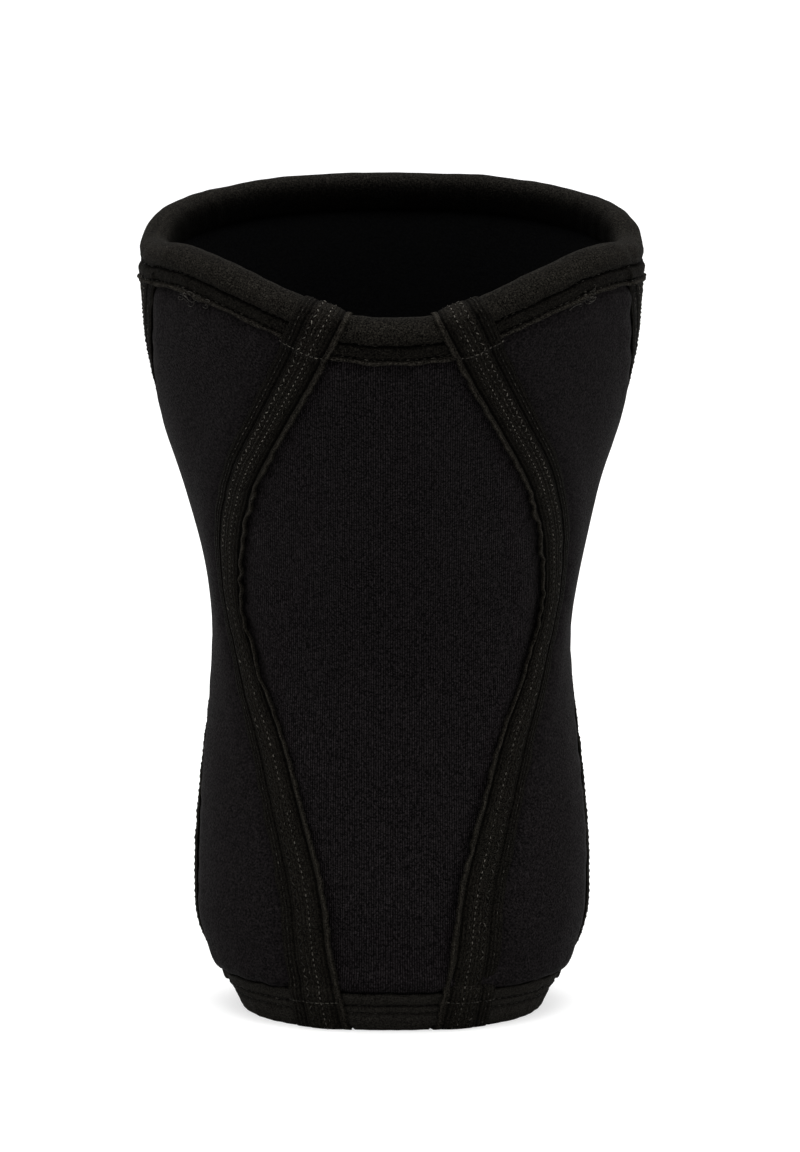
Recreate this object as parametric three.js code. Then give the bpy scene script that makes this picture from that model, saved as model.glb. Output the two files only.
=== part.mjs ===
// A sewn knee sleeve of thick foam-rubber cloth, standing on its lower edge as an open tube.
// Four shaped panels meet edge to edge. A flat tape covers each seam, and a soft binding is folded
// over the top and the bottom edge. The two tapes at the back are folded over both bindings, and the
// two at the front end at them.
// Millimetres, +Z up. X runs across the leg, and the hollow of the knee faces -Y. The origin is on
// the floor, under the middle of the lower edge. The sleeve is bent a little, as a knee is, so
// that its top leans towards -Y.
import * as THREE from "three";

// Overall sizes, measured on the outside of the panels
const SIDE_HEIGHT = 293; // floor to the crest of the top edge, at the two sides
const THIGH_WIDTH = 186;
const THIGH_DEPTH = 148;
const TOP_LEAN = 27; // how far the middle of the top edge stands out over the lower edge
const RIM_SLANT = 40; // how much higher the top edge is at the kneecap than at the hollow

// Cloth and trimmings
const WALL = 7; // foam-rubber cloth
const CLEARANCE = 0.3; // between pieces that are sewn together
const TAPE_WIDTH = 17;
const TAPE_THICKNESS = 1.3;
const TAPE_TUCK = 9; // how far a tape reaches down inside the top edge, and up inside the lower one
const BINDING_THICKNESS = 2; // at the ridges between its stitch lines
const BINDING_OUTSIDE = 16; // width of the top binding's outer leg, from the crest
const BINDING_INSIDE = 13;
const HEM_OUTSIDE = 15.5; // width of the lower binding's outer leg, from the floor
const ROLL = 4; // fill of the rolled edge beyond the panels

// How finely the curved walls are cut
const BACK_COLUMNS = 8;
const SIDE_COLUMNS = 8;
const FRONT_COLUMNS = 12;
const ROWS = 16;

// Cross-sections from the lower edge up. Height is a share of the side height, width and depth are
// shares of the thigh's, and lean is a share of the top's lean. Fullness squares a half section off
// when above 0, and draws it in towards a lens when below.
const SECTIONS = [
  { height: 0.0, width: 0.567, depth: 0.62, lean: 0.0, backFullness: 0.12, frontFullness: 0.05 },
  { height: 0.045, width: 0.662, depth: 0.7, lean: -0.04, backFullness: 0.1, frontFullness: 0.05 },
  { height: 0.1, width: 0.757, depth: 0.765, lean: -0.1, backFullness: 0.06, frontFullness: 0.04 },
  { height: 0.17, width: 0.776, depth: 0.79, lean: -0.18, backFullness: 0.04, frontFullness: 0.02 },
  { height: 0.29, width: 0.755, depth: 0.78, lean: -0.28, backFullness: 0.02, frontFullness: 0.02 },
  { height: 0.39, width: 0.725, depth: 0.76, lean: -0.32, backFullness: 0.0, frontFullness: 0.02 },
  { height: 0.475, width: 0.712, depth: 0.75, lean: -0.3, backFullness: 0.0, frontFullness: 0.02 },
  { height: 0.55, width: 0.737, depth: 0.77, lean: -0.22, backFullness: 0.0, frontFullness: 0.02 },
  { height: 0.66, width: 0.818, depth: 0.84, lean: 0.02, backFullness: 0.0, frontFullness: 0.02 },
  { height: 0.79, width: 0.92, depth: 0.92, lean: 0.42, backFullness: -0.04, frontFullness: 0.02 },
  { height: 0.92, width: 0.967, depth: 0.98, lean: 0.83, backFullness: -0.08, frontFullness: 0.02 },
  { height: 1.0, width: 0.965, depth: 1.0, lean: 1.0, backFullness: -0.08, frontFullness: 0.02 },
];

// Height of the top edge round the sleeve, from the hollow of the knee (0 degrees) over the side
// (90) to the kneecap (180), as a share of the rim's slant above or below the side.
const RIM = [
  { angle: 0, rise: -0.54 },
  { angle: 12, rise: -0.505 },
  { angle: 24, rise: -0.345 },
  { angle: 38, rise: -0.16 },
  { angle: 55, rise: -0.01 },
  { angle: 90, rise: 0.0 },
  { angle: 107, rise: 0.16 },
  { angle: 130, rise: 0.255 },
  { angle: 155, rise: 0.32 },
  { angle: 180, rise: 0.33 },
];

// Where the two seams of a side run, in degrees round from the hollow of the knee, and the width of
// the tapes over them as a share of the named width.
const SEAMS = [
  { height: 0.0, back: 27.5, front: 97, tape: 1.2 },
  { height: 0.08, back: 25.8, front: 96.5, tape: 1.15 },
  { height: 0.18, back: 27.2, front: 97, tape: 1.08 },
  { height: 0.28, back: 34, front: 99, tape: 1.0 },
  { height: 0.37, back: 42.5, front: 104, tape: 0.95 },
  { height: 0.45, back: 53.2, front: 110.5, tape: 0.87 },
  { height: 0.53, back: 59.8, front: 116.5, tape: 0.9 },
  { height: 0.6, back: 56.3, front: 116.5, tape: 0.97 },
  { height: 0.7, back: 45.3, front: 107, tape: 0.96 },
  { height: 0.8, back: 32.8, front: 97.5, tape: 0.97 },
  { height: 0.9, back: 23.2, front: 86, tape: 1.05 },
  { height: 1.0, back: 15.8, front: 76, tape: 1.15 },
];

// The two contours below are written from the edge of the panels outwards. Reach is the distance
// from the crest, as a share of the outer leg outside and of the inner leg inside, and proud is the
// height above the panel's face, as a share of the binding's thickness.
const BINDING_FACE = [
  { reach: 1.0, proud: 0.75 },
  { reach: 0.92, proud: 0.95 },
  { reach: 0.86, proud: 0.4 },
  { reach: 0.75, proud: 1.0 },
  { reach: 0.59, proud: 0.9 },
  { reach: 0.545, proud: 0.4 },
  { reach: 0.46, proud: 0.95 },
  { reach: 0.28, proud: 1.15 },
  { reach: 0.1, proud: 0.45 },
];
const BINDING_LINING = [
  { reach: 0.14, proud: 0.45 },
  { reach: 0.4, proud: 1.1 },
  { reach: 1.0, proud: 0.75 },
];
const CREST_SHARE = 0.36; // width of the narrow crest, as a share of the wall
const FLAT_SHARE = 0.15; // corners nearer to the crest than this share of the leg are pressed flat

// Section of a seam tape from its outer to its inner long edge: across is a share of its width,
// rise a share of its thickness.
const TAPE_FACE = [
  { across: 0.0, rise: 0.55 },
  { across: 0.3, rise: 0.85 },
  { across: 0.36, rise: 0.6 },
  { across: 0.45, rise: 1.0 },
  { across: 0.72, rise: 1.0 },
  { across: 0.84, rise: 0.55 },
  { across: 0.9, rise: 1.0 },
  { across: 1.0, rise: 1.0 },
];

const clothColour = { panel: 0x141316, rib: 0x151417, tape: 0x1a1a17, binding: 0x1c1b18 };

// A smooth curve through one column of a table. With level ends, it leaves both ends without slope.
function curveThrough(table, key, column, levelEnds = false) {
  const curve = new THREE.CubicInterpolant(
    table.map((row) => row[key]),
    table.map((row) => row[column]),
    1,
  );
  const ending = levelEnds ? THREE.ZeroSlopeEnding : THREE.ZeroCurvatureEnding;
  curve.settings = { endingStart: ending, endingEnd: ending };
  return (at) => curve.evaluate(at)[0];
}

const widthAt = curveThrough(SECTIONS, "height", "width");
const depthAt = curveThrough(SECTIONS, "height", "depth");
const leanAt = curveThrough(SECTIONS, "height", "lean");
const backFullnessAt = curveThrough(SECTIONS, "height", "backFullness");
const frontFullnessAt = curveThrough(SECTIONS, "height", "frontFullness");
const riseAt = curveThrough(RIM, "angle", "rise", true);
const backSeamAt = curveThrough(SEAMS, "height", "back");
const frontSeamAt = curveThrough(SEAMS, "height", "front");
const tapeWidthAt = curveThrough(SEAMS, "height", "tape");

// A point on the outer face of the panels. Angle is in radians round from the hollow of the knee,
// and share runs from 0 at the floor to 1 at the crest of the top edge.
function facePoint(angle, share) {
  const towardsFront = (1 - Math.cos(angle)) / 2;
  const fullness = THREE.MathUtils.lerp(backFullnessAt(share), frontFullnessAt(share), towardsFront);
  const squared = 1 + fullness * Math.sin(angle) ** 2;
  const fromHollow = THREE.MathUtils.radToDeg(Math.acos(Math.cos(angle)));
  return new THREE.Vector3(
    (THIGH_WIDTH / 2) * widthAt(share) * Math.sin(angle),
    -TOP_LEAN * leanAt(share) - (THIGH_DEPTH / 2) * depthAt(share) * Math.cos(angle) * squared,
    (SIDE_HEIGHT + RIM_SLANT * riseAt(fromHollow)) * share,
  );
}

const STEP = 1e-3; // for slopes, in radians and in shares of the height

// The outward direction of the panels' face.
function faceNormal(angle, share) {
  const inside = THREE.MathUtils.clamp(share, STEP, 1 - STEP);
  const round = facePoint(angle + STEP, inside).sub(facePoint(angle - STEP, inside));
  const upwards = facePoint(angle, inside + STEP).sub(facePoint(angle, inside - STEP));
  return round.cross(upwards).normalize();
}

// A point that stands a distance off the panels' face.
function offFace(angle, share, distance) {
  return facePoint(angle, share).addScaledVector(faceNormal(angle, share), distance);
}

// Length of the panels' face from the floor to the crest, straight up at one angle.
function faceLength(angle) {
  let length = 0;
  for (let row = 0; row < ROWS; row++) {
    length += facePoint(angle, row / ROWS).distanceTo(facePoint(angle, (row + 1) / ROWS));
  }
  return length;
}

// A line runs up the sleeve: its angle as a function of the share of the height.
const seams = {
  back: (share) => THREE.MathUtils.degToRad(backSeamAt(share)),
  front: (share) => THREE.MathUtils.degToRad(frontSeamAt(share)),
};
const middles = { back: () => 0, front: () => Math.PI };

const between = (from, to, part) => (share) => THREE.MathUtils.lerp(from(share), to(share), part);
const mirrored = (line) => (share) => -line(share);
const acrossFront = (line) => (share) => 2 * Math.PI - line(share);

// The line beside a seam at a distance, a function of the share, that is measured square to it.
const beside = (seam, distance) => (share) => {
  const inside = THREE.MathUtils.clamp(share, STEP, 1 - STEP);
  const angle = seam(inside);
  const round = facePoint(angle + STEP, inside).sub(facePoint(angle - STEP, inside));
  const above = facePoint(seam(inside + STEP), inside + STEP);
  const along = above.sub(facePoint(seam(inside - STEP), inside - STEP));
  const square = round.length() * Math.sin(along.angleTo(round));
  return seam(share) + (2 * STEP * distance(share)) / square;
};
const tapeEdge = (seam, side) =>
  beside(seam, (share) => (side * TAPE_WIDTH * tapeWidthAt(share)) / 2);
const panelEdge = (seam, side) => beside(seam, () => (side * CLEARANCE) / 2);

// Where a line is at a distance up from the floor, or down from the crest, as a share.
const shareUp = (line, reach) => reach / faceLength(line(0));
const shareDown = (line, reach) => 1 - reach / faceLength(line(1));

// Lines from one to another, both included.
function spread(from, to, count) {
  return Array.from({ length: count + 1 }, (unused, i) => between(from, to, i / count));
}

// Lines up the right-hand half of the sleeve, on which every piece has its corners
const backHalf = spread(middles.back, tapeEdge(seams.back, -1), BACK_COLUMNS / 2);
const sideSpan = spread(tapeEdge(seams.back, 1), tapeEdge(seams.front, -1), SIDE_COLUMNS);
const frontHalf = spread(tapeEdge(seams.front, 1), middles.front, FRONT_COLUMNS / 2);

// A closed body through a row of rings with as many corners each. With an end, a list of triangles
// between the corners of a ring, both of its ends are closed. Without one, its last ring joins its
// first.
function loft(rings, end) {
  const corners = rings[0].length;
  const spans = end ? rings.length - 1 : rings.length;
  const points = rings.flat();
  const length = (a, b) => points[a].distanceTo(points[b]);
  const faces = [];
  for (let ring = 0; ring < spans; ring++) {
    const here = ring * corners;
    const next = ((ring + 1) % rings.length) * corners;
    for (let i = 0; i < corners; i++) {
      const j = (i + 1) % corners;
      const [a, b, c, d] = [here + i, here + j, next + j, next + i];
      // The shorter diagonal, so that pieces that lie on each other are folded alike
      if (length(a, c) < length(b, d)) faces.push([a, b, c], [a, c, d]);
      else faces.push([a, b, d], [b, c, d]);
    }
  }
  if (end) {
    const last = spans * corners;
    for (const [a, b, c] of end) faces.push([a, c, b], [last + a, last + b, last + c]);
  }
  return closedBody(points, faces);
}

// A geometry whose faces point out of the body that they close.
function closedBody(points, faces) {
  const volume = faces.reduce(
    (sum, [a, b, c]) => sum + points[a].clone().cross(points[b]).dot(points[c]),
    0,
  );
  const index = volume > 0 ? faces.flat() : faces.flatMap(([a, b, c]) => [a, c, b]);
  const geometry = new THREE.BufferGeometry().setFromPoints(points);
  geometry.setIndex(index);
  return geometry;
}

// A panel between the first and the last of its lines: its face, then its back the other way.
// It stops short of the roll of both bindings.
function panel(lines) {
  const hem = [ROLL + CLEARANCE, foldMiddle(HEM_OUTSIDE)];
  const thigh = [foldMiddle(BINDING_OUTSIDE), ROLL + CLEARANCE];
  const rowsOf = (line) => [
    ...hem.map((reach) => shareUp(line, reach)),
    ...openRows(line),
    ...thigh.map((reach) => shareDown(line, reach)),
  ];
  const columns = lines.map((line) => rowsOf(line).map((share) => [line(share), share]));
  const rings = columns[0].map((unused, row) => {
    const places = columns.map((column) => column[row]);
    const face = places.map(([angle, share]) => offFace(angle, share, 0));
    const back = places.map(([angle, share]) => offFace(angle, share, -WALL));
    return [...face, ...back.reverse()];
  });
  const across = (i) => 2 * lines.length - 1 - i;
  const end = lines.slice(1).flatMap((unused, i) => [
    [i, i + 1, across(i)],
    [i + 1, across(i + 1), across(i)],
  ]);
  return loft(rings, end);
}

// Shares at which a line has its rows between the two bindings.
function openRows(line) {
  const low = shareUp(line, HEM_OUTSIDE);
  const high = shareDown(line, BINDING_OUTSIDE);
  return Array.from({ length: ROWS + 1 }, (unused, i) => THREE.MathUtils.lerp(low, high, i / ROWS));
}

// Halfway along the part of a binding's outer leg that lies on the panels.
function foldMiddle(outsideLeg) {
  return (ROLL + CLEARANCE + outsideLeg) / 2;
}

// Heights of the two corners of a binding's narrow crest, in the middle of the wall.
const crestHeights = [1, -1].map((side) => (-WALL / 2) * (1 - side * CREST_SHARE));

// The closed section of a binding: reach from the crest, height off the panels' face, and whether
// that corner is pressed flat where the binding stands on the floor.
function bindingSection(outsideLeg) {
  const face = BINDING_FACE.map(({ reach, proud }) => ({
    reach: reach * outsideLeg,
    height: proud * BINDING_THICKNESS,
    pressed: reach < FLAT_SHARE,
  }));
  const crest = crestHeights.map((height) => ({ reach: 0, height, pressed: true }));
  const lining = BINDING_LINING.map(({ reach, proud }) => ({
    reach: reach * BINDING_INSIDE,
    height: -WALL - proud * BINDING_THICKNESS,
  }));
  const fold = [
    { reach: BINDING_INSIDE, height: -WALL - CLEARANCE },
    { reach: ROLL, height: -WALL - CLEARANCE },
    { reach: ROLL, height: CLEARANCE },
    { reach: foldMiddle(outsideLeg), height: CLEARANCE },
    { reach: outsideLeg, height: CLEARANCE },
  ];
  return [...face, ...crest, ...lining, ...fold];
}

// A binding round a whole edge. The lower one is pressed flat on the floor, and makes room there
// for the tapes that are folded under it.
function binding(outsideLeg, atTop) {
  const underTape = new Set([backHalf.at(-1), seams.back, sideSpan[0]]);
  const right = [...backHalf, seams.back, ...sideSpan, seams.front, ...frontHalf];
  const ringOf = (line) => {
    const floor = underTape.has(line) ? TAPE_THICKNESS + CLEARANCE : 0;
    return bindingSection(outsideLeg).map(({ reach, height, pressed }) => {
      const share = atTop ? shareDown(line, reach) : shareUp(line, reach);
      const point = offFace(line(share), share, height);
      if (!atTop) point.z = pressed ? floor : Math.max(point.z, floor);
      return point;
    });
  };
  const rightRings = right.map(ringOf);
  const leftRings = rightRings.slice(1, -1).reverse().map(mirrorPoints);
  return loft([...rightRings, ...leftRings]);
}

const mirrorPoints = (points) => points.map(({ x, y, z }) => new THREE.Vector3(-x, y, z));

// The way over a binding that a tape's underside takes, from the panels to its tucked end.
function tapeOverBinding(outsideLeg) {
  const ridge = BINDING_THICKNESS + CLEARANCE;
  const inside = -WALL - ridge;
  return [
    { reach: outsideLeg * 0.97, height: ridge },
    { reach: outsideLeg * 0.5, height: ridge },
    { reach: outsideLeg * 0.28, height: ridge * 1.15 },
    { reach: outsideLeg * 0.08, height: ridge * 0.5, pressed: true },
    ...crestHeights.map((height) => ({ reach: -CLEARANCE, height, pressed: true })),
    { reach: BINDING_INSIDE * 0.12, height: inside + ridge * 0.5 },
    { reach: BINDING_INSIDE * 0.38, height: inside - ridge * 0.15 },
    { reach: TAPE_TUCK, height: inside },
  ];
}

// The whole way of a tape's underside. A folded tape comes from inside the lower edge, goes up the
// seam and in over the top, and any other lies between the two bindings. Each stop says where it is
// on a line that is moved up by a little, and which way is off it.
function tapeRoute(folded) {
  const low = tapeOverBinding(HEM_OUTSIDE).reverse().map((stop) => ({
    ...stop,
    up: stop.reach,
    shareOn: (line, moved) => shareUp(line, stop.reach + moved),
  }));
  const open = Array.from({ length: ROWS - 1 }, (unused, i) => ({
    height: CLEARANCE,
    up: HEM_OUTSIDE + i + 1,
    shareOn: (line) => openRows(line)[i + 1],
  }));
  const high = tapeOverBinding(BINDING_OUTSIDE).map((stop) => ({
    ...stop,
    up: SIDE_HEIGHT - stop.reach,
    pressed: false,
    shareOn: (line, moved) => shareDown(line, stop.reach - moved),
  }));
  const [hemEnd, thighEnd] = [HEM_OUTSIDE + 2 * CLEARANCE, BINDING_OUTSIDE + 2 * CLEARANCE];
  const start = { height: CLEARANCE, up: HEM_OUTSIDE, shareOn: (line) => shareUp(line, hemEnd) };
  const finish = {
    height: CLEARANCE,
    up: SIDE_HEIGHT - thighEnd,
    shareOn: (line) => shareDown(line, thighEnd),
  };
  const route = folded ? [...low, ...open, ...high] : [start, ...open, finish];
  return route.map((stop, i) => {
    const before = route[Math.max(i - 1, 0)];
    const after = route[Math.min(i + 1, route.length - 1)];
    const along = new THREE.Vector2(after.up - before.up, after.height - before.height).normalize();
    return { ...stop, off: { up: -along.y, height: along.x } };
  });
}

// A tape over one seam, from its outer to its inner long edge. Its face has ridges between lines of
// stitching, and its underside has corners over the lines of the panels and bindings below it.
function tape(outer, seam, inner, folded) {
  const lineAt = (across) =>
    across < 0.5 ? between(outer, seam, across * 2) : between(seam, inner, across * 2 - 1);
  const rings = tapeRoute(folded).map(({ height, pressed, shareOn, off }) => {
    const cornerAt = (line, lift) => {
      const share = shareOn(line, off.up * lift);
      const point = offFace(line(share), share, height + off.height * lift);
      const floor = lift > 0 ? 0 : TAPE_THICKNESS;
      point.z = pressed ? floor : Math.max(point.z, floor);
      return point;
    };
    const face = TAPE_FACE.map(({ across, rise }) => cornerAt(lineAt(across), rise * TAPE_THICKNESS));
    const under = [inner, seam, outer].map((line) => cornerAt(line, 0));
    return [...face, ...under];
  });
  return loft(rings, tapeEnd());
}

// Triangles that close an end of a tape. They stay narrow, because the tape is bowed as the panels
// are, and a wide one would cut straight through them.
function tapeEnd() {
  const [inner, seam, outer] = [0, 1, 2].map((i) => TAPE_FACE.length + i);
  const nearest = (across) => [outer, seam, inner][Math.round(across * 2)];
  return TAPE_FACE.slice(1).flatMap(({ across }, i) => {
    const [before, after] = [nearest(TAPE_FACE[i].across), nearest(across)];
    const face = [i, i + 1, after];
    return before === after ? [face] : [face, [i, after, before]];
  });
}

const sleeve = new THREE.Group();

function addPiece(name, geometry, colour, roughness) {
  const material = new THREE.MeshStandardMaterial({ color: colour, roughness, metalness: 0 });
  const piece = new THREE.Mesh(geometry, material);
  piece.name = name;
  sleeve.add(piece);
}

// A piece on +X and its mirror image on -X.
function addPair(name, geometry, colour, roughness) {
  addPiece(`${name}_right`, geometry, colour, roughness);
  const position = geometry.getAttribute("position");
  const points = position.array.length / 3;
  const mirror = Array.from({ length: points }, (unused, i) =>
    new THREE.Vector3(-position.getX(i), position.getY(i), position.getZ(i)),
  );
  const index = geometry.getIndex().array;
  const faces = Array.from({ length: index.length / 3 }, (unused, i) =>
    Array.from(index.subarray(3 * i, 3 * i + 3)),
  );
  addPiece(`${name}_left`, closedBody(mirror, faces), colour, roughness);
}

// Panels stop short of their seams by half of the clearance.
const backPanelHalf = [...backHalf, panelEdge(seams.back, -1)];
const backPanelLines = [...backPanelHalf.slice(1).reverse().map(mirrored), ...backPanelHalf];
const frontPanelHalf = [panelEdge(seams.front, 1), ...frontHalf];
const frontPanelLines = [...frontPanelHalf, ...frontPanelHalf.slice(0, -1).reverse().map(acrossFront)];
const sidePanelLines = [panelEdge(seams.back, 1), ...sideSpan, panelEdge(seams.front, -1)];

addPiece("back_panel", panel(backPanelLines), clothColour.rib, 0.9);
addPiece("front_panel", panel(frontPanelLines), clothColour.panel, 0.9);
addPair("side_panel", panel(sidePanelLines), clothColour.panel, 0.9);
addPiece("top_binding", binding(BINDING_OUTSIDE, true), clothColour.binding, 0.95);
addPiece("bottom_binding", binding(HEM_OUTSIDE, false), clothColour.binding, 0.95);
const backTape = tape(sideSpan[0], seams.back, backHalf.at(-1), true);
const frontTape = tape(sideSpan.at(-1), seams.front, frontHalf[0], false);
addPair("back_seam_tape", backTape, clothColour.tape, 0.95);
addPair("front_seam_tape", frontTape, clothColour.tape, 0.95);

// The origin is under the middle of the whole sleeve.
const extent = new THREE.Box3().setFromObject(sleeve);
sleeve.position.y = -extent.getCenter(new THREE.Vector3()).y;

export default sleeve;
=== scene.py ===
import math

import bpy
import numpy as np
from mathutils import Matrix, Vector


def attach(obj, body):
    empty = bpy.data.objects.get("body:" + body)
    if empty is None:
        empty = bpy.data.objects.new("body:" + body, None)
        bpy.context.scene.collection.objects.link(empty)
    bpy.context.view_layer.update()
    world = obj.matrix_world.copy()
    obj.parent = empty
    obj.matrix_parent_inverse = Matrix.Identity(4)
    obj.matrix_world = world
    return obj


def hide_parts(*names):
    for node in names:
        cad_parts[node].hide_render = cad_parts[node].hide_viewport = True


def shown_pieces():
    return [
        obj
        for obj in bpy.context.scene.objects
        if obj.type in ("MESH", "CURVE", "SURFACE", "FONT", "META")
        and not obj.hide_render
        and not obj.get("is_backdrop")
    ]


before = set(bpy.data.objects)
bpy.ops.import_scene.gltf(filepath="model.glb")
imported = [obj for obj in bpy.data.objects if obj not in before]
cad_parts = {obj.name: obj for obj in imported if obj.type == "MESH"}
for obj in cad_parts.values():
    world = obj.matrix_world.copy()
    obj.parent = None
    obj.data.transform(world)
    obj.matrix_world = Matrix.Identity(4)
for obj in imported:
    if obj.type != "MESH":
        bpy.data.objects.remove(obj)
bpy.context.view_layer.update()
mm = 0.001
print("frame loaded:", ", ".join(sorted(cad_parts)))

# Overall sizes and cloth, in millimetres
sleeve = {
    "sideHeight": 293,
    "thighWidth": 186,
    "thighDepth": 148,
    "topLean": 27,
    "rimSlant": 40,
    "wall": 7,
    "clearance": 0.3,  # between pieces that are sewn together
    "roll": 4,  # fill of the rolled edge beyond the panels
    "tapeWidth": 17,
}

# Cross-sections from the floor up: height is a share of the side height, width and depth are shares
# of the thigh's, lean a share of the top's lean. Fullness squares a half section off.
sections = {
    "height": [0, 0.045, 0.1, 0.17, 0.29, 0.39, 0.475, 0.55, 0.66, 0.79, 0.92, 1],
    "width": [0.567, 0.662, 0.757, 0.776, 0.755, 0.725, 0.712, 0.737, 0.818, 0.92, 0.967, 0.965],
    "depth": [0.62, 0.7, 0.765, 0.79, 0.78, 0.76, 0.75, 0.77, 0.84, 0.92, 0.98, 1],
    "lean": [0, -0.04, -0.1, -0.18, -0.28, -0.32, -0.3, -0.22, 0.02, 0.42, 0.83, 1],
    "backFullness": [0.12, 0.1, 0.06, 0.04, 0.02, 0, 0, 0, 0, -0.04, -0.08, -0.08],
    "frontFullness": [0.05, 0.05, 0.04, 0.02, 0.02, 0.02, 0.02, 0.02, 0.02, 0.02, 0.02, 0.02],
}

# Height of the top edge round from the hollow of the knee (0 degrees) to the kneecap (180)
rim = {
    "angle": [0, 12, 24, 38, 55, 90, 107, 130, 155, 180],
    "rise": [-0.54, -0.505, -0.345, -0.16, -0.01, 0, 0.16, 0.255, 0.32, 0.33],
}

# Where the seams of a side run, in degrees from the hollow, and the width of the tapes over them
seams = {
    "height": [0, 0.08, 0.18, 0.28, 0.37, 0.45, 0.53, 0.6, 0.7, 0.8, 0.9, 1],
    "back": [27.5, 25.8, 27.2, 34, 42.5, 53.2, 59.8, 56.3, 45.3, 32.8, 23.2, 15.8],
    "front": [97, 96.5, 97, 99, 104, 110.5, 116.5, 116.5, 107, 97.5, 86, 76],
    "tape": [1.2, 1.15, 1.08, 1, 0.95, 0.87, 0.9, 0.97, 0.96, 0.97, 1.05, 1.15],
}


# The curve through some places that has a given slope at each of them
def slopedCurve(at, to, slopes):
    def curve(x):
        x = np.clip(x, at[0], at[-1])
        i = np.clip(np.searchsorted(at, x, side="right") - 1, 0, len(at) - 2)
        gap = at[i + 1] - at[i]
        t = (x - at[i]) / gap
        return (
            to[i] * (1 + 2 * t) * (1 - t) ** 2
            + slopes[i] * gap * t * (1 - t) ** 2
            + to[i + 1] * t * t * (3 - 2 * t)
            + slopes[i + 1] * gap * t * t * (t - 1)
        )

    return curve


# The same through a column of a table, by its first column
def curveThrough(table, column, levelEnds=False):
    at, to = (np.array(values, float) for values in (next(iter(table.values())), table[column]))
    secants = np.diff(to) / np.diff(at)
    ends = (0, 0) if levelEnds else (secants[0], secants[-1])
    return slopedCurve(at, to, np.concatenate([[ends[0]], (secants[1:] + secants[:-1]) / 2, [ends[1]]]))


widthAt, depthAt, leanAt, backFullnessAt, frontFullnessAt = (
    curveThrough(sections, column) for column in list(sections)[1:]
)
backSeamAt, frontSeamAt, tapeWidthAt = (curveThrough(seams, column) for column in list(seams)[1:])
riseAt = curveThrough(rim, "rise", levelEnds=True)


# A point on the panels' face. Angle runs round from the hollow of the knee, and share from the
# floor (0) to the crest of the top edge (1).
def facePoint(angle, share):
    angle, share = np.broadcast_arrays(angle, share)
    towardsFront = (1 - np.cos(angle)) / 2
    fullness = backFullnessAt(share) * (1 - towardsFront) + frontFullnessAt(share) * towardsFront
    squared = 1 + fullness * np.sin(angle) ** 2
    fromHollow = np.degrees(np.arccos(np.clip(np.cos(angle), -1, 1)))
    x = sleeve["thighWidth"] / 2 * widthAt(share) * np.sin(angle)
    y = -sleeve["topLean"] * leanAt(share)
    y = y - sleeve["thighDepth"] / 2 * depthAt(share) * np.cos(angle) * squared
    z = (sleeve["sideHeight"] + sleeve["rimSlant"] * riseAt(fromHollow)) * share
    return np.stack([x, y, z], -1)


slopeStep = 1e-3  # for slopes, in radians and in shares of the height


def unit(vectors):
    return vectors / np.linalg.norm(vectors, axis=-1, keepdims=True)


def faceNormal(angle, share):
    inside = np.clip(share, slopeStep, 1 - slopeStep)
    across = facePoint(angle + slopeStep, inside) - facePoint(angle - slopeStep, inside)
    upwards = facePoint(angle, inside + slopeStep) - facePoint(angle, inside - slopeStep)
    return unit(np.cross(across, upwards))


def offFace(angle, share, distance):
    return facePoint(angle, share) + faceNormal(angle, share) * np.asarray(distance)[..., None]


# Length of the face from the floor to the crest, straight up at one angle
def faceLength(angle, rows=16):
    shares = np.linspace(0, 1, rows + 1)
    points = facePoint(np.asarray(angle)[..., None], shares)
    return np.linalg.norm(np.diff(points, axis=-2), axis=-1).sum(-1)


def backSeam(share):
    return np.radians(backSeamAt(share))


def frontSeam(share):
    return np.radians(frontSeamAt(share))


# The line beside a seam, at a distance that is measured square to it
def beside(seam, distance):
    def line(share):
        inside = np.clip(share, 2 * slopeStep, 1 - 2 * slopeStep)
        angle = seam(inside)
        across = facePoint(angle + slopeStep, inside) - facePoint(angle - slopeStep, inside)
        above, below = (inside + slopeStep, inside - slopeStep)
        along = facePoint(seam(above), above) - facePoint(seam(below), below)
        square = np.linalg.norm(np.cross(along, across), axis=-1) / np.linalg.norm(along, axis=-1)
        return seam(share) + 2 * slopeStep * distance(share) / square

    return line


def tapeEdge(seam, side):
    return beside(seam, lambda share: side * sleeve["tapeWidth"] * tapeWidthAt(share) / 2)


def panelEdge(seam, side):
    return beside(seam, lambda share: side * sleeve["clearance"] / 2 + 0 * share)


def backMiddle(share):
    return 0 * np.asarray(share, float)


def frontMiddle(share):
    return np.pi + 0 * np.asarray(share, float)


# The line that lies some part of the way from one line to another
def partWay(fromLine, toLine, part):
    def line(share):
        return fromLine(share) * (1 - part) + toLine(share) * part

    return line


def mirror(line):
    return lambda share: -line(share)


# The farthest corner of the frame's front panel lies on the face, straight behind the hollow of the
# knee, and says how far the frame was moved to put its origin in the middle.
farthest = max((v.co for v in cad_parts["front_panel"].data.vertices), key=lambda co: co.y)
rimAtFront = sleeve["sideHeight"] + sleeve["rimSlant"] * float(riseAt(180))
standing = np.array([0, farthest.y / mm, 0])
standing[1] -= facePoint(np.pi, farthest.z / mm / rimAtFront)[1]
print(f"the frame stands {standing[1]:.2f} mm back")


# An uneven line: waves with lengths between two bounds, about 1 high
def ripple(seed, shortest, longest, count=7):
    rng = np.random.default_rng(seed)
    lengths = rng.uniform(shortest, longest, count)
    phases = rng.uniform(0, 2 * np.pi, count)

    def height(at):
        waves = [np.sin(2 * np.pi * at / length + phase) for length, phase in zip(lengths, phases)]
        return sum(waves) / math.sqrt(count)

    return height


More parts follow.
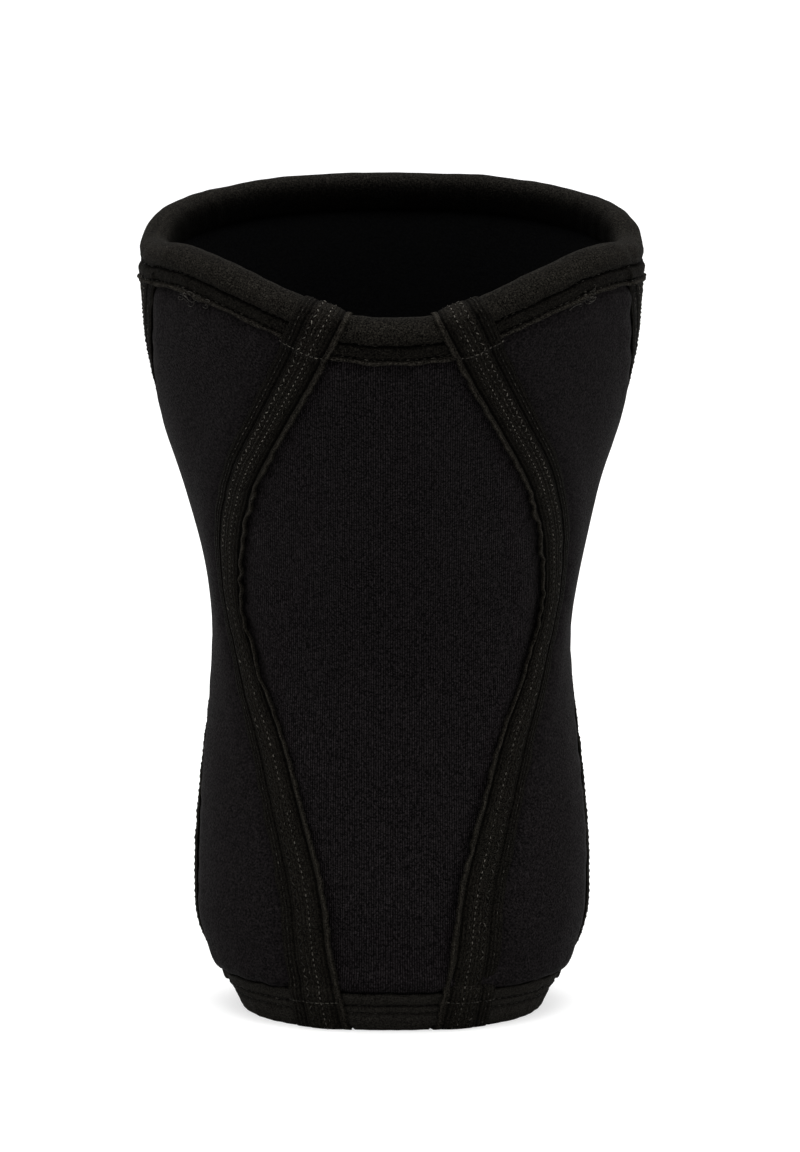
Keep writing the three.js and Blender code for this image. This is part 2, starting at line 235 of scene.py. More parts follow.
# The same for a closed edge: at runs from 0 to 1 round it, with whole numbers of waves
def ringRipple(seed, fewest, most, count=9):
    rng = np.random.default_rng(seed)
    numbers = rng.integers(fewest, most + 1, count)
    phases = rng.uniform(0, 2 * np.pi, count)

    def height(at):
        waves = [np.sin(2 * np.pi * at * number + phase) for number, phase in zip(numbers, phases)]
        return sum(waves) / math.sqrt(count)

    return height


# Slow swells through space, for cloth that is nowhere quite even
def swell(seed, wavelength, count=9):
    rng = np.random.default_rng(seed)
    directions = unit(rng.normal(size=(count, 3)))
    pace = 2 * np.pi / (wavelength * rng.uniform(0.7, 1.5, count))
    phases = rng.uniform(0, 2 * np.pi, count)

    def height(points):
        return np.sin(points @ (directions * pace[:, None]).T + phases).sum(-1) / math.sqrt(count)

    return height


def bump(x, width):
    return np.exp(-((x / width) ** 2))


# How far sewing presses a groove in, at a distance from its middle. Pull says where the stitches
# are, and the share of the depth that goes with them.
def sewnGroove(distance, depth, width, stitchShare, pull):
    return depth * bump(distance, width) * (1 - stitchShare * (1 - pull))


def stitchPull(turns):
    return 0.5 + 0.5 * np.cos(2 * np.pi * turns)


# Places in even steps on both sides of some grooves
def closeTo(grooves, reach, step):
    return np.concatenate([np.arange(-reach, reach + step / 2, step) + groove for groove in grooves])


def smoothStep(low, high, x):
    t = np.clip((x - low) / (high - low), 0, 1)
    return t * t * (3 - 2 * t)


def runLength(points, axis=0):
    steps = np.linalg.norm(np.diff(points, axis=axis), axis=-1)
    start = np.zeros_like(np.take(steps, [0], axis))
    return np.concatenate([start, np.cumsum(steps, axis)], axis)


# A smooth line through a few points, with the given number of steps between each two
def smoothThrough(points, steps):
    points = np.array(points, float)
    padded = np.vstack([2 * points[0] - points[1], points, 2 * points[-1] - points[-2]])
    t = np.linspace(0, 1, steps, endpoint=False)[:, None]
    pieces = []
    for a, b, c, d in zip(padded, padded[1:], padded[2:], padded[3:]):
        square, cube = 2 * a - 5 * b + 4 * c - d, 3 * b - a - 3 * c + d
        pieces.append(0.5 * (2 * b + (c - a) * t + square * t**2 + cube * t**3))
    return np.vstack([*pieces, points[-1:]])


def makeMesh(name, points, quads, corners, materials, materialOf=None):
    vertices = (points.reshape(-1, 3) + standing) * mm
    a, b, c, d = (vertices[quads[:, i]] for i in range(4))
    volume = (np.cross(a, b) * c).sum() + (np.cross(a, c) * d).sum()
    if volume < 0:
        quads, corners = quads[:, ::-1], corners[:, ::-1]
    mesh = bpy.data.meshes.new(name)
    mesh.from_pydata(vertices.tolist(), [], quads.tolist())
    mesh.polygons.foreach_set("use_smooth", np.ones(len(quads), bool))
    layer = mesh.uv_layers.new(name="cloth")
    layer.data.foreach_set("uv", corners.reshape(-1))
    for material in materials:
        mesh.materials.append(material)
    if materialOf is not None:
        mesh.polygons.foreach_set("material_index", materialOf)
    mesh.update()
    piece = bpy.data.objects.new(name, mesh)
    bpy.context.scene.collection.objects.link(piece)
    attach(piece, "root")
    return piece


# A closed body through rows of rings. Each ring is a face from edge to edge and then as many points
# of a back the other way. The corners' places on the cloth are in millimetres, across and along.
def loft(name, face, back, cloth, materials, closed=False):
    rings = np.concatenate([face, back[:, ::-1]], axis=1)
    rows, columns = rings.shape[:2]
    spans = rows if closed else rows - 1
    if closed:
        wholeWay = cloth[-1, 0, 1] * rows / (rows - 1)
        cloth = np.concatenate([cloth, cloth[:1] + [[[0, wholeWay]]]], axis=0)
    if cloth.shape[1] < columns:
        cloth = np.concatenate([cloth, cloth[:, ::-1]], axis=1)
    cloth = np.concatenate([cloth, cloth[:, :1]], axis=1)
    row, column = np.meshgrid(np.arange(spans), np.arange(columns), indexing="ij")
    row, column = row.ravel(), column.ravel()
    nextRow, nextColumn = (row + 1) % rows, (column + 1) % columns
    square = [(row, column), (row, nextColumn), (nextRow, nextColumn), (nextRow, column)]
    quads = np.stack([r * columns + c for r, c in square], -1)
    unrolled = [(row, column), (row, column + 1), (row + 1, column + 1), (row + 1, column)]
    corners = np.stack([cloth[r, c] for r, c in unrolled], 1)
    onBack = column >= face.shape[1]
    if not closed:
        i = np.arange(columns // 2 - 1)
        strip = np.stack([i, i + 1, columns - 2 - i, columns - 1 - i], -1)
        caps = np.concatenate([strip[:, ::-1], strip + (rows - 1) * columns])
        quads = np.concatenate([quads, caps])
        corners = np.concatenate([corners, np.zeros((len(caps), 4, 2))])
        onBack = np.concatenate([onBack, np.ones(len(caps), bool)])
    materialOf = onBack.astype(np.int32) if len(materials) > 1 else None
    return makeMesh(name, rings, quads, corners, materials, materialOf)


# Shader groups. Places are in millimetres, so that the sizes below are real ones.
def newGroup(name, inputs, outputs):
    group = bpy.data.node_groups.new(name, "ShaderNodeTree")
    for label, kind, value in inputs:
        socket = group.interface.new_socket(name=label, in_out="INPUT", socket_type=kind)
        if value is not None:
            socket.default_value = value
    for label, kind in outputs:
        group.interface.new_socket(name=label, in_out="OUTPUT", socket_type=kind)
    return group, group.nodes.new("NodeGroupInput").outputs, group.nodes.new("NodeGroupOutput").inputs


def addNode(tree, kind, settings=None, **values):
    node = tree.nodes.new(kind)
    for key, value in (settings or {}).items():
        setattr(node, key, value)
    for key, value in values.items():
        setSocket(tree, node.inputs[int(key[1:]) if key[1:].isdigit() else key.replace("_", " ")], value)
    return node


def setSocket(tree, socket, value):
    if isinstance(value, bpy.types.NodeSocket):
        tree.links.new(value, socket)
    else:
        socket.default_value = value


def calculate(tree, operation, *values):
    node = tree.nodes.new("ShaderNodeMath")
    node.operation = operation
    for socket, value in zip(node.inputs, values):
        setSocket(tree, socket, value)
    return node.outputs[0]


def spread(tree, value, low, high, toLow=0.0, toHigh=1.0, smooth=False):
    steps = {"interpolation_type": "SMOOTHSTEP" if smooth else "LINEAR"}
    ends = {"From_Min": low, "From_Max": high, "To_Min": toLow, "To_Max": toHigh}
    return addNode(tree, "ShaderNodeMapRange", steps, Value=value, **ends).outputs[0]


def socketNamed(sockets, identifier):
    return next(socket for socket in sockets if socket.identifier == identifier)


def mixColours(tree, amount, one, other, blend="MIX"):
    node = tree.nodes.new("ShaderNodeMix")
    node.data_type, node.blend_type = "RGBA", blend
    for name, value in (("Factor_Float", amount), ("A_Color", one), ("B_Color", other)):
        setSocket(tree, socketNamed(node.inputs, name), value)
    return socketNamed(node.outputs, "Result_Color")


def splitPlace(tree, place):
    return addNode(tree, "ShaderNodeSeparateXYZ", Vector=place).outputs


def noiseAt(tree, place, scale, detail, roughness):
    return addNode(
        tree, "ShaderNodeTexNoise", Vector=place, Scale=scale, Detail=detail, Roughness=roughness
    ).outputs[0]


scalar, vector = "NodeSocketFloat", "NodeSocketVector"


# Fine upright ribs of small loops. Cloth is the place across and along the cloth. The second output is a mask
# of painted shade for the valleys between the ribs.
knit = {"wanderScale": 0.11, "loopPitch": 0.7, "loopShare": 0.12, "furrowShadeSharpness": 2.0}


def makeRibKnit():
    tree, given, result = newGroup(
        "ribKnit",
        [("Cloth", vector, None), ("Pitch", scalar, 0.88), ("Wander", scalar, 0.12)],
        [("Height", scalar), ("FurrowShade", scalar)],
    )
    flat = {"noise_dimensions": "2D"}
    wander = addNode(tree, "ShaderNodeTexNoise", flat, Vector=given["Cloth"], Scale=knit["wanderScale"])
    parts = splitPlace(tree, given["Cloth"])
    sideways = calculate(tree, "MULTIPLY_ADD", wander.outputs[0], given["Wander"], parts[0])
    turns = calculate(tree, "DIVIDE", calculate(tree, "MULTIPLY", sideways, 2 * math.pi), given["Pitch"])
    rib = calculate(tree, "MULTIPLY_ADD", calculate(tree, "COSINE", turns), 0.5, 0.5)
    loopTurns = calculate(tree, "MULTIPLY", parts[1], 2 * math.pi / knit["loopPitch"])
    loops = calculate(tree, "COSINE", loopTurns)
    tree.links.new(calculate(tree, "MULTIPLY_ADD", loops, knit["loopShare"], rib), result["Height"])
    # painted shade: the valleys between the ribs, narrowed by a power
    valley = calculate(tree, "SUBTRACT", 1.0, rib)
    tree.links.new(calculate(tree, "POWER", valley, knit["furrowShadeSharpness"]), result["FurrowShade"])
    return tree


# The soft grain of worn cloth: a fine one for fibres, their bright ends, and broad patches. The
# pairs are the parts of the noise that are spread from none to all.
grain = {
    "fleckRange": (0.38, 0.62),
    "sparkleScale": 0.93,
    "sparkleRange": (0.55, 0.68),
    "patchRange": (0.35, 0.65),
}


def makeClothGrain():
    tree, given, result = newGroup(
        "clothGrain",
        [("Place", vector, None), ("Fibre", scalar, 1.4), ("Patch", scalar, 0.03)],
        [("Height", scalar), ("Fleck", scalar), ("Patches", scalar), ("Sparkle", scalar)],
    )
    fine = noiseAt(tree, given["Place"], given["Fibre"], 2.0, 0.6)
    broad = noiseAt(tree, given["Place"], given["Patch"], 3.0, 0.6)
    sparkleScale = calculate(tree, "MULTIPLY", given["Fibre"], grain["sparkleScale"])
    ends = noiseAt(tree, given["Place"], sparkleScale, 1.0, 0.5)
    tree.links.new(spread(tree, ends, *grain["sparkleRange"], smooth=True), result["Sparkle"])
    tree.links.new(fine, result["Height"])
    tree.links.new(spread(tree, fine, *grain["fleckRange"], smooth=True), result["Fleck"])
    tree.links.new(spread(tree, broad, *grain["patchRange"]), result["Patches"])
    return tree


# Bits of lint that cling to the cloth, in some of the cells that it is divided into
def makeLint():
    tree, given, result = newGroup(
        "lint",
        [("Place", vector, None), ("Spacing", scalar, 9.0), ("Size", scalar, 0.3), ("Amount", scalar, 0.3)],
        [("Mask", scalar)],
    )
    perMillimetre = calculate(tree, "DIVIDE", 1.0, given["Spacing"])
    cells = addNode(tree, "ShaderNodeTexVoronoi", Vector=given["Place"], Scale=perMillimetre)
    near = calculate(tree, "MULTIPLY", cells.outputs["Distance"], given["Spacing"])
    speck = spread(tree, near, given["Size"], 0.0, smooth=True)
    lot = addNode(tree, "ShaderNodeSeparateColor", Color=cells.outputs["Color"]).outputs[0]
    chosen = calculate(tree, "LESS_THAN", lot, given["Amount"])
    tree.links.new(calculate(tree, "MULTIPLY", speck, chosen), result["Mask"])
    return tree


ribKnit, clothGrain, lint = makeRibKnit(), makeClothGrain(), makeLint()


def placeGroup(tree, group, **values):
    node = tree.nodes.new("ShaderNodeGroup")
    node.node_tree = group
    for key, value in values.items():
        setSocket(tree, node.inputs[key], value)
    return node.outputs


def startMaterial(name, look):
    material = bpy.data.materials.new(name)
    material.use_nodes = True
    tree = material.node_tree
    shader = tree.nodes["Principled BSDF"]
    shader.inputs["Specular IOR Level"].default_value = look["gloss"]
    shader.inputs["Sheen Weight"].default_value = look["sheen"]
    shader.inputs["Sheen Roughness"].default_value = look["sheenRoughness"]
    shader.inputs["Sheen Tint"].default_value = (*look["sheenTint"], 1)
    coordinates = tree.nodes.new("ShaderNodeTexCoord").outputs
    scaling = {"operation": "SCALE"}
    place = addNode(tree, "ShaderNodeVectorMath", scaling, Vector=coordinates["Object"], Scale=1 / mm)
    return material, tree, shader, place.outputs[0], coordinates["UV"]


def finishMaterial(tree, shader, colour, roughness, height, depth):
    relief = addNode(tree, "ShaderNodeBump", Strength=1.0, Distance=depth * mm, Height=height)
    tree.links.new(colour, shader.inputs["Base Color"])
    tree.links.new(roughness, shader.inputs["Roughness"])
    tree.links.new(relief.outputs[0], shader.inputs["Normal"])


# How light the cloth is by its place across, as painted light: zones are pairs of a place in millimetres and
# a tone that multiplies the colour. They paint shade into grooves and recesses and highlights onto lips.
def paintedLightTones(tree, across, paintedLightZones):
    first, last = paintedLightZones[0][0], paintedLightZones[-1][0]
    ramp = addNode(tree, "ShaderNodeValToRGB", Fac=spread(tree, across, first, last))
    stops = ramp.color_ramp.elements
    for number, (place, tone) in enumerate(paintedLightZones):
        at = (place - first) / (last - first)
        stop = stops[number] if number < 2 else stops.new(at)
        if number == 1:
            stop.position = at
        stop.color = (tone, tone, tone, 1)
    return ramp.outputs[0]


def tint(tree, colour, mask, strength, tone):
    return mixColours(tree, calculate(tree, "MULTIPLY", mask, strength), colour, (*tone, 1))


def clothMaterial(name, look):
    material, tree, shader, place, cloth = startMaterial(name, look)
    fibres = placeGroup(tree, clothGrain, Place=place, Fibre=look["fibre"], Patch=look["patch"])
    specks = placeGroup(
        tree, lint, Place=place, Spacing=look["lintSpacing"], Size=look["lintSize"], Amount=look["lintAmount"]
    )
    across, along, _ = splitPlace(tree, cloth)
    dark, light = look["dark"], look["light"]
    colour = mixColours(tree, fibres["Fleck"], (*dark, 1), (*light, 1))
    colour = tint(tree, colour, fibres["Patches"], look["patchiness"], light)
    bright = [part * look["sparkleTone"] for part in light]
    colour = tint(tree, colour, fibres["Sparkle"], look["sparkle"], bright)
    height = fibres["Height"]
    if look.get("fades"):
        colour = mixColours(tree, across, colour, (*look["fadedTone"], 1))
    if look.get("ribPitch"):
        ribs = placeGroup(tree, ribKnit, Cloth=cloth, Pitch=look["ribPitch"])
        # painted shade in the furrows between the ribs: a darker copy of the cloth's dark tone
        furrowShadeColour = [part * look["furrowShadeTone"] for part in dark]
        colour = tint(tree, colour, ribs["FurrowShade"], look["furrowShade"], furrowShadeColour)
        height = calculate(tree, "MULTIPLY_ADD", fibres["Height"], look["grainShare"], ribs["Height"])
    # painted light: shade in the grooves and inside the sleeve, highlights on the lips, multiplied into the
    # colour
    if look.get("paintedLightZones"):
        strength = spread(tree, along, *look["paintedLightFade"]) if look.get("paintedLightFade") else 1.0
        colour = mixColours(tree, strength, colour, paintedLightTones(tree, across, look["paintedLightZones"]), "MULTIPLY")
    colour = mixColours(tree, specks["Mask"], colour, (*look["lintTone"], 1))
    rough = look["roughness"]
    roughness = spread(tree, fibres["Fleck"], 0.0, 1.0, rough, rough - look["fleckGloss"])
    finishMaterial(tree, shader, colour, roughness, height, look["relief"])
    return material


plain = {
    "gloss": 0.02,
    "sheen": 0.012,
    "sparkle": 0.8,
    "sparkleTone": 1.9,
    "sheenRoughness": 0.35,
    "sheenTint": (1, 0.96, 0.92),
    "roughness": 0.75,
    "fleckGloss": 0.15,  # how much less rough the light flecks are
    "fibre": 1.3,
    "patch": 0.03,
    "patchiness": 0.14,
    "relief": 0.2,
    "lintSpacing": 9.0,
    "lintSize": 0.4,
    "lintAmount": 0.2,
    "lintTone": (0.02, 0.018, 0.018),
}
ribLook = plain | {
    "dark": (0.0018, 0.0015, 0.0016),
    "light": (0.0142, 0.012, 0.0128),
    "sparkle": 0.7,
    "ribPitch": 0.88,
    # painted shade in the rib furrows: how much, and how dark a share of the dark tone
    "furrowShade": 0.9,
    "furrowShadeTone": 0.15,
    "grainShare": 1.6,
    "relief": 0.2,
    "lintAmount": 0.1,
    "lintSize": 0.3,
}
jerseyLook = plain | {
    "dark": (0.0016, 0.0014, 0.0015),
    "light": (0.0081, 0.0069, 0.0072),
    "sheen": 0.004,
    "sparkle": 0.7,
    "fibre": 1.35,
    "lintSpacing": 2.6,
    "lintSize": 0.36,
    "lintAmount": 0.4,
}
liningLook = plain | {
    "dark": (0.0026, 0.0027, 0.0029),
    "light": (0.0044, 0.0045, 0.0048),
    "sparkle": 0.2,
    "gloss": 0.015,
    "sheen": 0.005,
    "lintAmount": 0.05,
}
bindingLook = plain | {
    "dark": (0.0009, 0.0008, 0.0006),
    "light": (0.0148, 0.0133, 0.0109),
    "gloss": 0.012,
    "sheen": 0.007,
    "fibre": 1.85,
    "patchiness": 0.15,
    "sparkle": 1.0,
    "relief": 0.4,
    "sheenTint": (1, 0.97, 0.86),
    "lintAmount": 0.25,
    "lintSpacing": 6.0,
    # how light the cloth is by its reach from the crest, inside (below 0) and outside: painted shade inside
    # the sleeve and in the two sewn grooves, a band between them darker partly as pressed cloth and partly as
    # painted shade, and a painted highlight on the lip
    "paintedLightZones": [(-13, 0.03), (-10, 0.06), (-6, 0.12), (-3, 0.22), (-0.5, 0.5), (1, 0.7), (4, 0.78),
              (7.4, 0.6), (8.75, 0.18), (9.7, 0.42), (12.8, 0.5), (14.1, 0.14), (14.8, 1.2), (16, 1.0)],
}
hemLook = bindingLook | {
    "dark": (0.0034, 0.0031, 0.0026),
    "light": (0.0138, 0.0127, 0.0108),
    "sparkle": 0.4,
    "relief": 0.2,
    # painted shade inside the sleeve and in the two sewn grooves; the tones above 1 lighten the rest of the
    # hem cloth
    "paintedLightZones": [(-13, 0.1), (-2, 0.5), (2, 1.2), (6.4, 1.3), (7.9, 0.6), (8.8, 1.3), (10, 1.2), (10.9, 0.4),
              (12, 1.1), (14, 1.2), (15.5, 1.1)],
}
tapeLook = bindingLook | {
    "dark": (0.0015, 0.0013, 0.001),
    "light": (0.0155, 0.0139, 0.0112),
    "sparkle": 0.55,
    "ribPitch": 1.25,
    # painted shade in the furrows of the tape's ribs: how much, and how dark a share of the dark tone
    "furrowShade": 0.45,
    "furrowShadeTone": 0.5,
    "grainShare": 1.4,
    "relief": 0.3,
    # the same across the tape, from its outer edge: a darker outer band, partly pressed cloth and partly
    # painted shade, painted shade in the two sewn grooves, and a painted highlight on the raised inner lip
    "paintedLightZones": [(0, 0.6), (1.2, 0.45), (3.7, 0.42), (4.6, 0.2), (5.6, 0.65), (8.5, 0.8), (12.2, 0.75),
              (13.3, 0.5), (14.2, 0.4), (14.7, 0.08), (15.2, 1.4), (16.4, 1.7), (17, 0.9)],
    "paintedLightFade": (25, 150, 0.6, 1),  # the painted shade and highlight across the tape are fainter near the floor, by the place along the tape
}
threadLook = plain | {
    "dark": (0.016, 0.0145, 0.012),
    "light": (0.115, 0.106, 0.09),
    "gloss": 0.1,
    "roughness": 0.6,
    "fibre": 0.9,
    "relief": 0.1,
    "sparkle": 0,
    "fades": True,  # the place across the cloth says how much
    "fadedTone": (0.0075, 0.0067, 0.0052),
}
ribCloth = clothMaterial("rib knit", ribLook)
jersey = clothMaterial("smooth jersey", jerseyLook)
lining = clothMaterial("lining", liningLook)
bindingCloth = clothMaterial("binding cloth", bindingLook)
hemCloth = clothMaterial("hem cloth", hemLook)
tapeCloth = clothMaterial("tape cloth", tapeLook)
thread = clothMaterial("sewing thread", threadLook)
print("materials ready")

# The four panels, with the puckers that the sewing leaves beside the tapes and the bindings.
# Lengths and heights are in millimetres.
panels = {
    "rows": 190,
    "crowding": 0.0405,  # of the rows towards both ends
    "columnWidth": 1.35,
    "widestAt": 0.55,
    "widestSteps": 60,
    "dip": 0.7,  # how far the tape's stitching pulls the cloth in
    "dipWidth": 2.2,
    "swelling": 0.5,  # of the cloth beyond it
    "swellingAt": 8,
    "swellingWidth": 6,
    "pucker": 0.32,
    "puckerReach": 6,
    "puckerLengths": (8, 15),
    "puckerSlant": 0.5,
    "otherSide": 431.0,  # where the waves of a panel's second edge start
    "edgeLengths": (10, 18),  # of the puckers beside the bindings
    "edgeStart": 77,
    "unevenness": 0.4,
    "swellLength": 55,
    # bulges and dips beside the lips of the bindings: height, distance and width
    "besideHem": [(2.1, 4, 5), (-1.8, 0, 1.1)],
    "besideRim": [(0.5, 6, 6), (-1.1, 0, 1.7)],
    "underBinding": -0.3,
    "seamRounding": 0.7,
    "roundingWidth": 1.2,
}
# A binding's reach is counted from the crest, down its outside or its inside, and its height is off
# the panels' face.
topBinding = {
    "outside": 16,
    "inside": 13,
    "roll": [(13, -8.5), (9, -8.9), (6, -9.15), (3.4, -8.8), (1.3, -7.6), (0.1, -5.7), (-0.35, -3.6),
             (0.1, -1.5), (1.4, 0.55), (3.1, 1.8), (4.9, 2.25)],
    "rollSteps": 3,  # between each two of its points
    # below the roll, with reach as a share of the outside
    "outer": {"reach": [0.306, 0.4, 0.52, 0.6, 0.72, 0.84, 0.93, 0.98, 1.0],
              "height": [2.25, 2.2, 1.75, 1.85, 1.95, 1.6, 2.1, 2.2, 1.7]},
    "outerRows": 16,
    "outerFrom": 0.55,  # share of the roll's points that lie inside and over the crest
    "gap": 0.2,  # to the panels
    "underLip": [(1.4, 0.2), (0.1, 1.0)],  # its underside's distance from the lip and height
    "grooves": [0.547, 0.884],
    "grooveDepth": [1.6, 1.3],
    "grooveWidth": 0.42,
    "closeRows": (1.4, 0.28),  # reach and step of the closer rows beside the grooves
    "stitchPitch": 3.1,
    "stitchShare": 0.25,  # of a groove's depth, deepest in the middle of each stitch
    "stitchPull": 0.2,
    "pullWidth": 1.6,
    # height, and the fewest and the most waves round the edge
    "waves": {"roll": (0.13, 12, 38), "face": (0.12, 30, 70), "lip": (0.38, 10, 44), "crest": (0.12, 8, 30),
              "groove": (0.25, 10, 40)},
    "rollMiddle": 3,
    "rollSpread": 4.5,
    "crestSpread": 5,
    "lipFrom": 0.86,
    "overTape": 0.9,  # how far it rises over the ends of the front tapes
    "overFrom": (0.5, 0.8),
    "flatter": [],  # how much, and from where to where it grows
}
bottomBinding = topBinding | {
    "outside": 15.5,
    "roll": [(13, -8.5), (9, -8.9), (6, -9.15), (3.4, -8.8), (1.3, -7.6), (0.1, -5.7), (-0.2, -3.6),
             (0.1, -1.5), (1.4, 0.75), (3.1, 1.9), (4.9, 2.3)],
    "outer": {"reach": [0.316, 0.4, 0.52, 0.6, 0.72, 0.84, 0.93, 0.98, 1.0],
              "height": [2.3, 2.25, 1.95, 1.9, 1.75, 1.9, 1.8, 1.5, 0.9]},
    "grooves": [0.51, 0.7],
    "grooveDepth": [0.6, 0.9],
    # beyond the back tapes it lies flatter, with its lip under the panels' bulge
    "flatter": [(0.8, 0.05, 0.4), (0.6, 0.75, 0.95)],
    "flatterFrom": (0.5, 0.75),  # radians from the hollow of the knee
    "underTape": 1.6,  # height of its crest over the floor, where a tape lies under it
    "pressed": (0.08, 0.3),  # it is flat on the floor up to here, as shares of its outside
    "pressedAbove": -6.5,  # but not its inner edge
}


def panelPiece(name, fromLine, toLine, material, seed):
    ends = fromLine(0.5), toLine(0.5)
    widest = facePoint(np.linspace(*ends, panels["widestSteps"]), panels["widestAt"])
    columns = int(runLength(widest)[-1] / panels["columnWidth"])
    part = np.linspace(0, 1, columns + 1)
    v = np.linspace(0, 1, panels["rows"] + 1)
    v = v - panels["crowding"] * np.sin(2 * np.pi * v)
    line = partWay(fromLine, toLine, part)
    lengthLow, lengthHigh = faceLength(line(0.0)), faceLength(line(1.0))
    inset = sleeve["roll"] + sleeve["clearance"]
    share = inset / lengthLow * (1 - v[:, None]) + (1 - inset / lengthHigh) * v[:, None]
    angle = line(share)
    flat = facePoint(angle, share)
    across = runLength(flat, axis=1)
    along = share * lengthLow
    fromSeam = np.minimum(across, across[:, -1:] - across)
    fromTape = fromSeam - sleeve["tapeWidth"] * tapeWidthAt(share) / 2
    outside = np.maximum(fromTape, 0)
    side = np.where(part < 0.5, 0.0, panels["otherSide"])
    puckers = ripple(seed, *panels["puckerLengths"])(along + side + panels["puckerSlant"] * outside)
    relief = -panels["dip"] * bump(outside, panels["dipWidth"])
    relief += panels["swelling"] * bump(fromTape - panels["swellingAt"], panels["swellingWidth"])
    relief += panels["pucker"] * puckers * np.exp(-outside / panels["puckerReach"])
    relief += panels["unevenness"] * swell(seed + 1, panels["swellLength"])(flat)
    edgePuckers = ripple(seed + 2, *panels["edgeLengths"])(across + panels["edgeStart"])
    aboveHem = along - bottomBinding["outside"]
    belowRim = (1 - share) * lengthHigh - topBinding["outside"]
    for fromLip, forms in ((aboveHem, panels["besideHem"]), (belowRim, panels["besideRim"])):
        for height, distance, width in forms:
            relief += height * bump(fromLip - distance, width)
        relief += panels["pucker"] * edgePuckers * np.exp(-np.maximum(fromLip, 0) / panels["puckerReach"])
    covered = (aboveHem < 0) | (belowRim < 0)
    relief = np.where(covered, np.minimum(relief, panels["underBinding"]), relief)
    inner = -sleeve["wall"] + panels["seamRounding"] * bump(fromSeam, panels["roundingWidth"])
    middle = across[:, columns // 2][:, None]
    cloth = np.stack([across - middle, along], -1)
    face, back = offFace(angle, share, relief), offFace(angle, share, inner)
    piece = loft(name, face, back, cloth, [material, lining])
    return piece


rightBackEdge, rightSideEdge = panelEdge(backSeam, -1), panelEdge(backSeam, 1)
rightSideFarEdge, rightFrontEdge = panelEdge(frontSeam, -1), panelEdge(frontSeam, 1)
panelPieces = {
    "back_panel": (mirror(rightBackEdge), rightBackEdge, ribCloth, "rib_knit", 11),
    "side_panel_right": (rightSideEdge, rightSideFarEdge, jersey, "jersey", 21),
    "side_panel_left": (mirror(rightSideFarEdge), mirror(rightSideEdge), jersey, "jersey", 31),
    "front_panel": (rightFrontEdge, lambda share: 2 * np.pi - rightFrontEdge(share), jersey, "jersey", 41),
}
for node, (fromLine, toLine, material, slot, seed) in panelPieces.items():
    piece = panelPiece(f"{node}_cloth", fromLine, toLine, material, seed)
    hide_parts(node)
print("panels ready")

# Stations round an edge on the right-hand half, as a line's two neighbours and the part between them
stationSpacing = 0.75
edgeSteps = 40  # for the length of an edge between two lines
coverRamp = 1.5  # beside a tape
farFromTapes = 9.0
halfLines = [
    backMiddle,
    tapeEdge(backSeam, -1),
    tapeEdge(backSeam, 1),
    tapeEdge(frontSeam, -1),
    tapeEdge(frontSeam, 1),
    frontMiddle,
]


# Angles and shares of every station and profile point, right round an edge, and how much each
# station is under a back tape and over a front one
def ringPlaces(profileReach, atTop):
    edge = 1.0 if atTop else 0.0
    angles, shares, covers = [], [], []
    for i, (fromLine, toLine) in enumerate(zip(halfLines, halfLines[1:])):
        ends = np.linspace(fromLine(edge), toLine(edge), edgeSteps)
        length = runLength(facePoint(ends, edge))[-1]
        part = np.linspace(0, 1, max(2, int(length / stationSpacing)), endpoint=False)
        if toLine is frontMiddle:
            part = np.linspace(0, 1, int(length / stationSpacing))
        part = part[:, None]
        line = partWay(fromLine, toLine, part)
        reach = profileReach[None, :] / faceLength(line(edge))
        share = 1 - reach if atTop else reach
        angles.append(line(share))
        shares.append(share)
        fromStart, toEnd = part * length / coverRamp, (1 - part) * length / coverRamp
        never = np.full_like(part, farFromTapes)
        toBack = {0: toEnd, 1: 0 * part, 2: fromStart}.get(i, never)
        toFront = {2: toEnd, 3: 0 * part, 4: fromStart}.get(i, never)
        covers.append(1 - smoothStep(0, 1, np.stack([toBack, toFront], -1)))
    angle, share, cover = (np.concatenate(parts) for parts in (angles, shares, covers))
    mirrored = ((angle, -angle[-2:0:-1]), (share, share[-2:0:-1]), (cover, cover[-2:0:-1]))
    return [np.concatenate(halves) for halves in mirrored]


# A binding's profile: what shows of it, from the inside over the roll to the lip, and its underside
def bindingProfile(binding):
    leg, gap, wall = binding["outside"], binding["gap"], sleeve["wall"]
    roll, table = smoothThrough(binding["roll"], binding["rollSteps"]), binding["outer"]
    closeReach, closeStep = (length / leg for length in binding["closeRows"])
    near = closeTo(binding["grooves"], closeReach, closeStep)
    even = np.linspace(table["reach"][0], 1, binding["outerRows"])
    reaches = np.unique(np.round(np.concatenate([even, near]), 4))
    reaches = reaches[(reaches > table["reach"][0]) & (reaches <= 1)]
    outer = np.stack([reaches * leg, curveThrough(table, "height")(reaches)], -1)
    under = [(binding["inside"], -wall - gap), (sleeve["roll"], -wall - gap), (sleeve["roll"], gap)]
    under += [(leg - distance, height) for distance, height in binding["underLip"]]
    return np.vstack([roll, outer]), np.array(under), len(roll) * binding["outerFrom"]


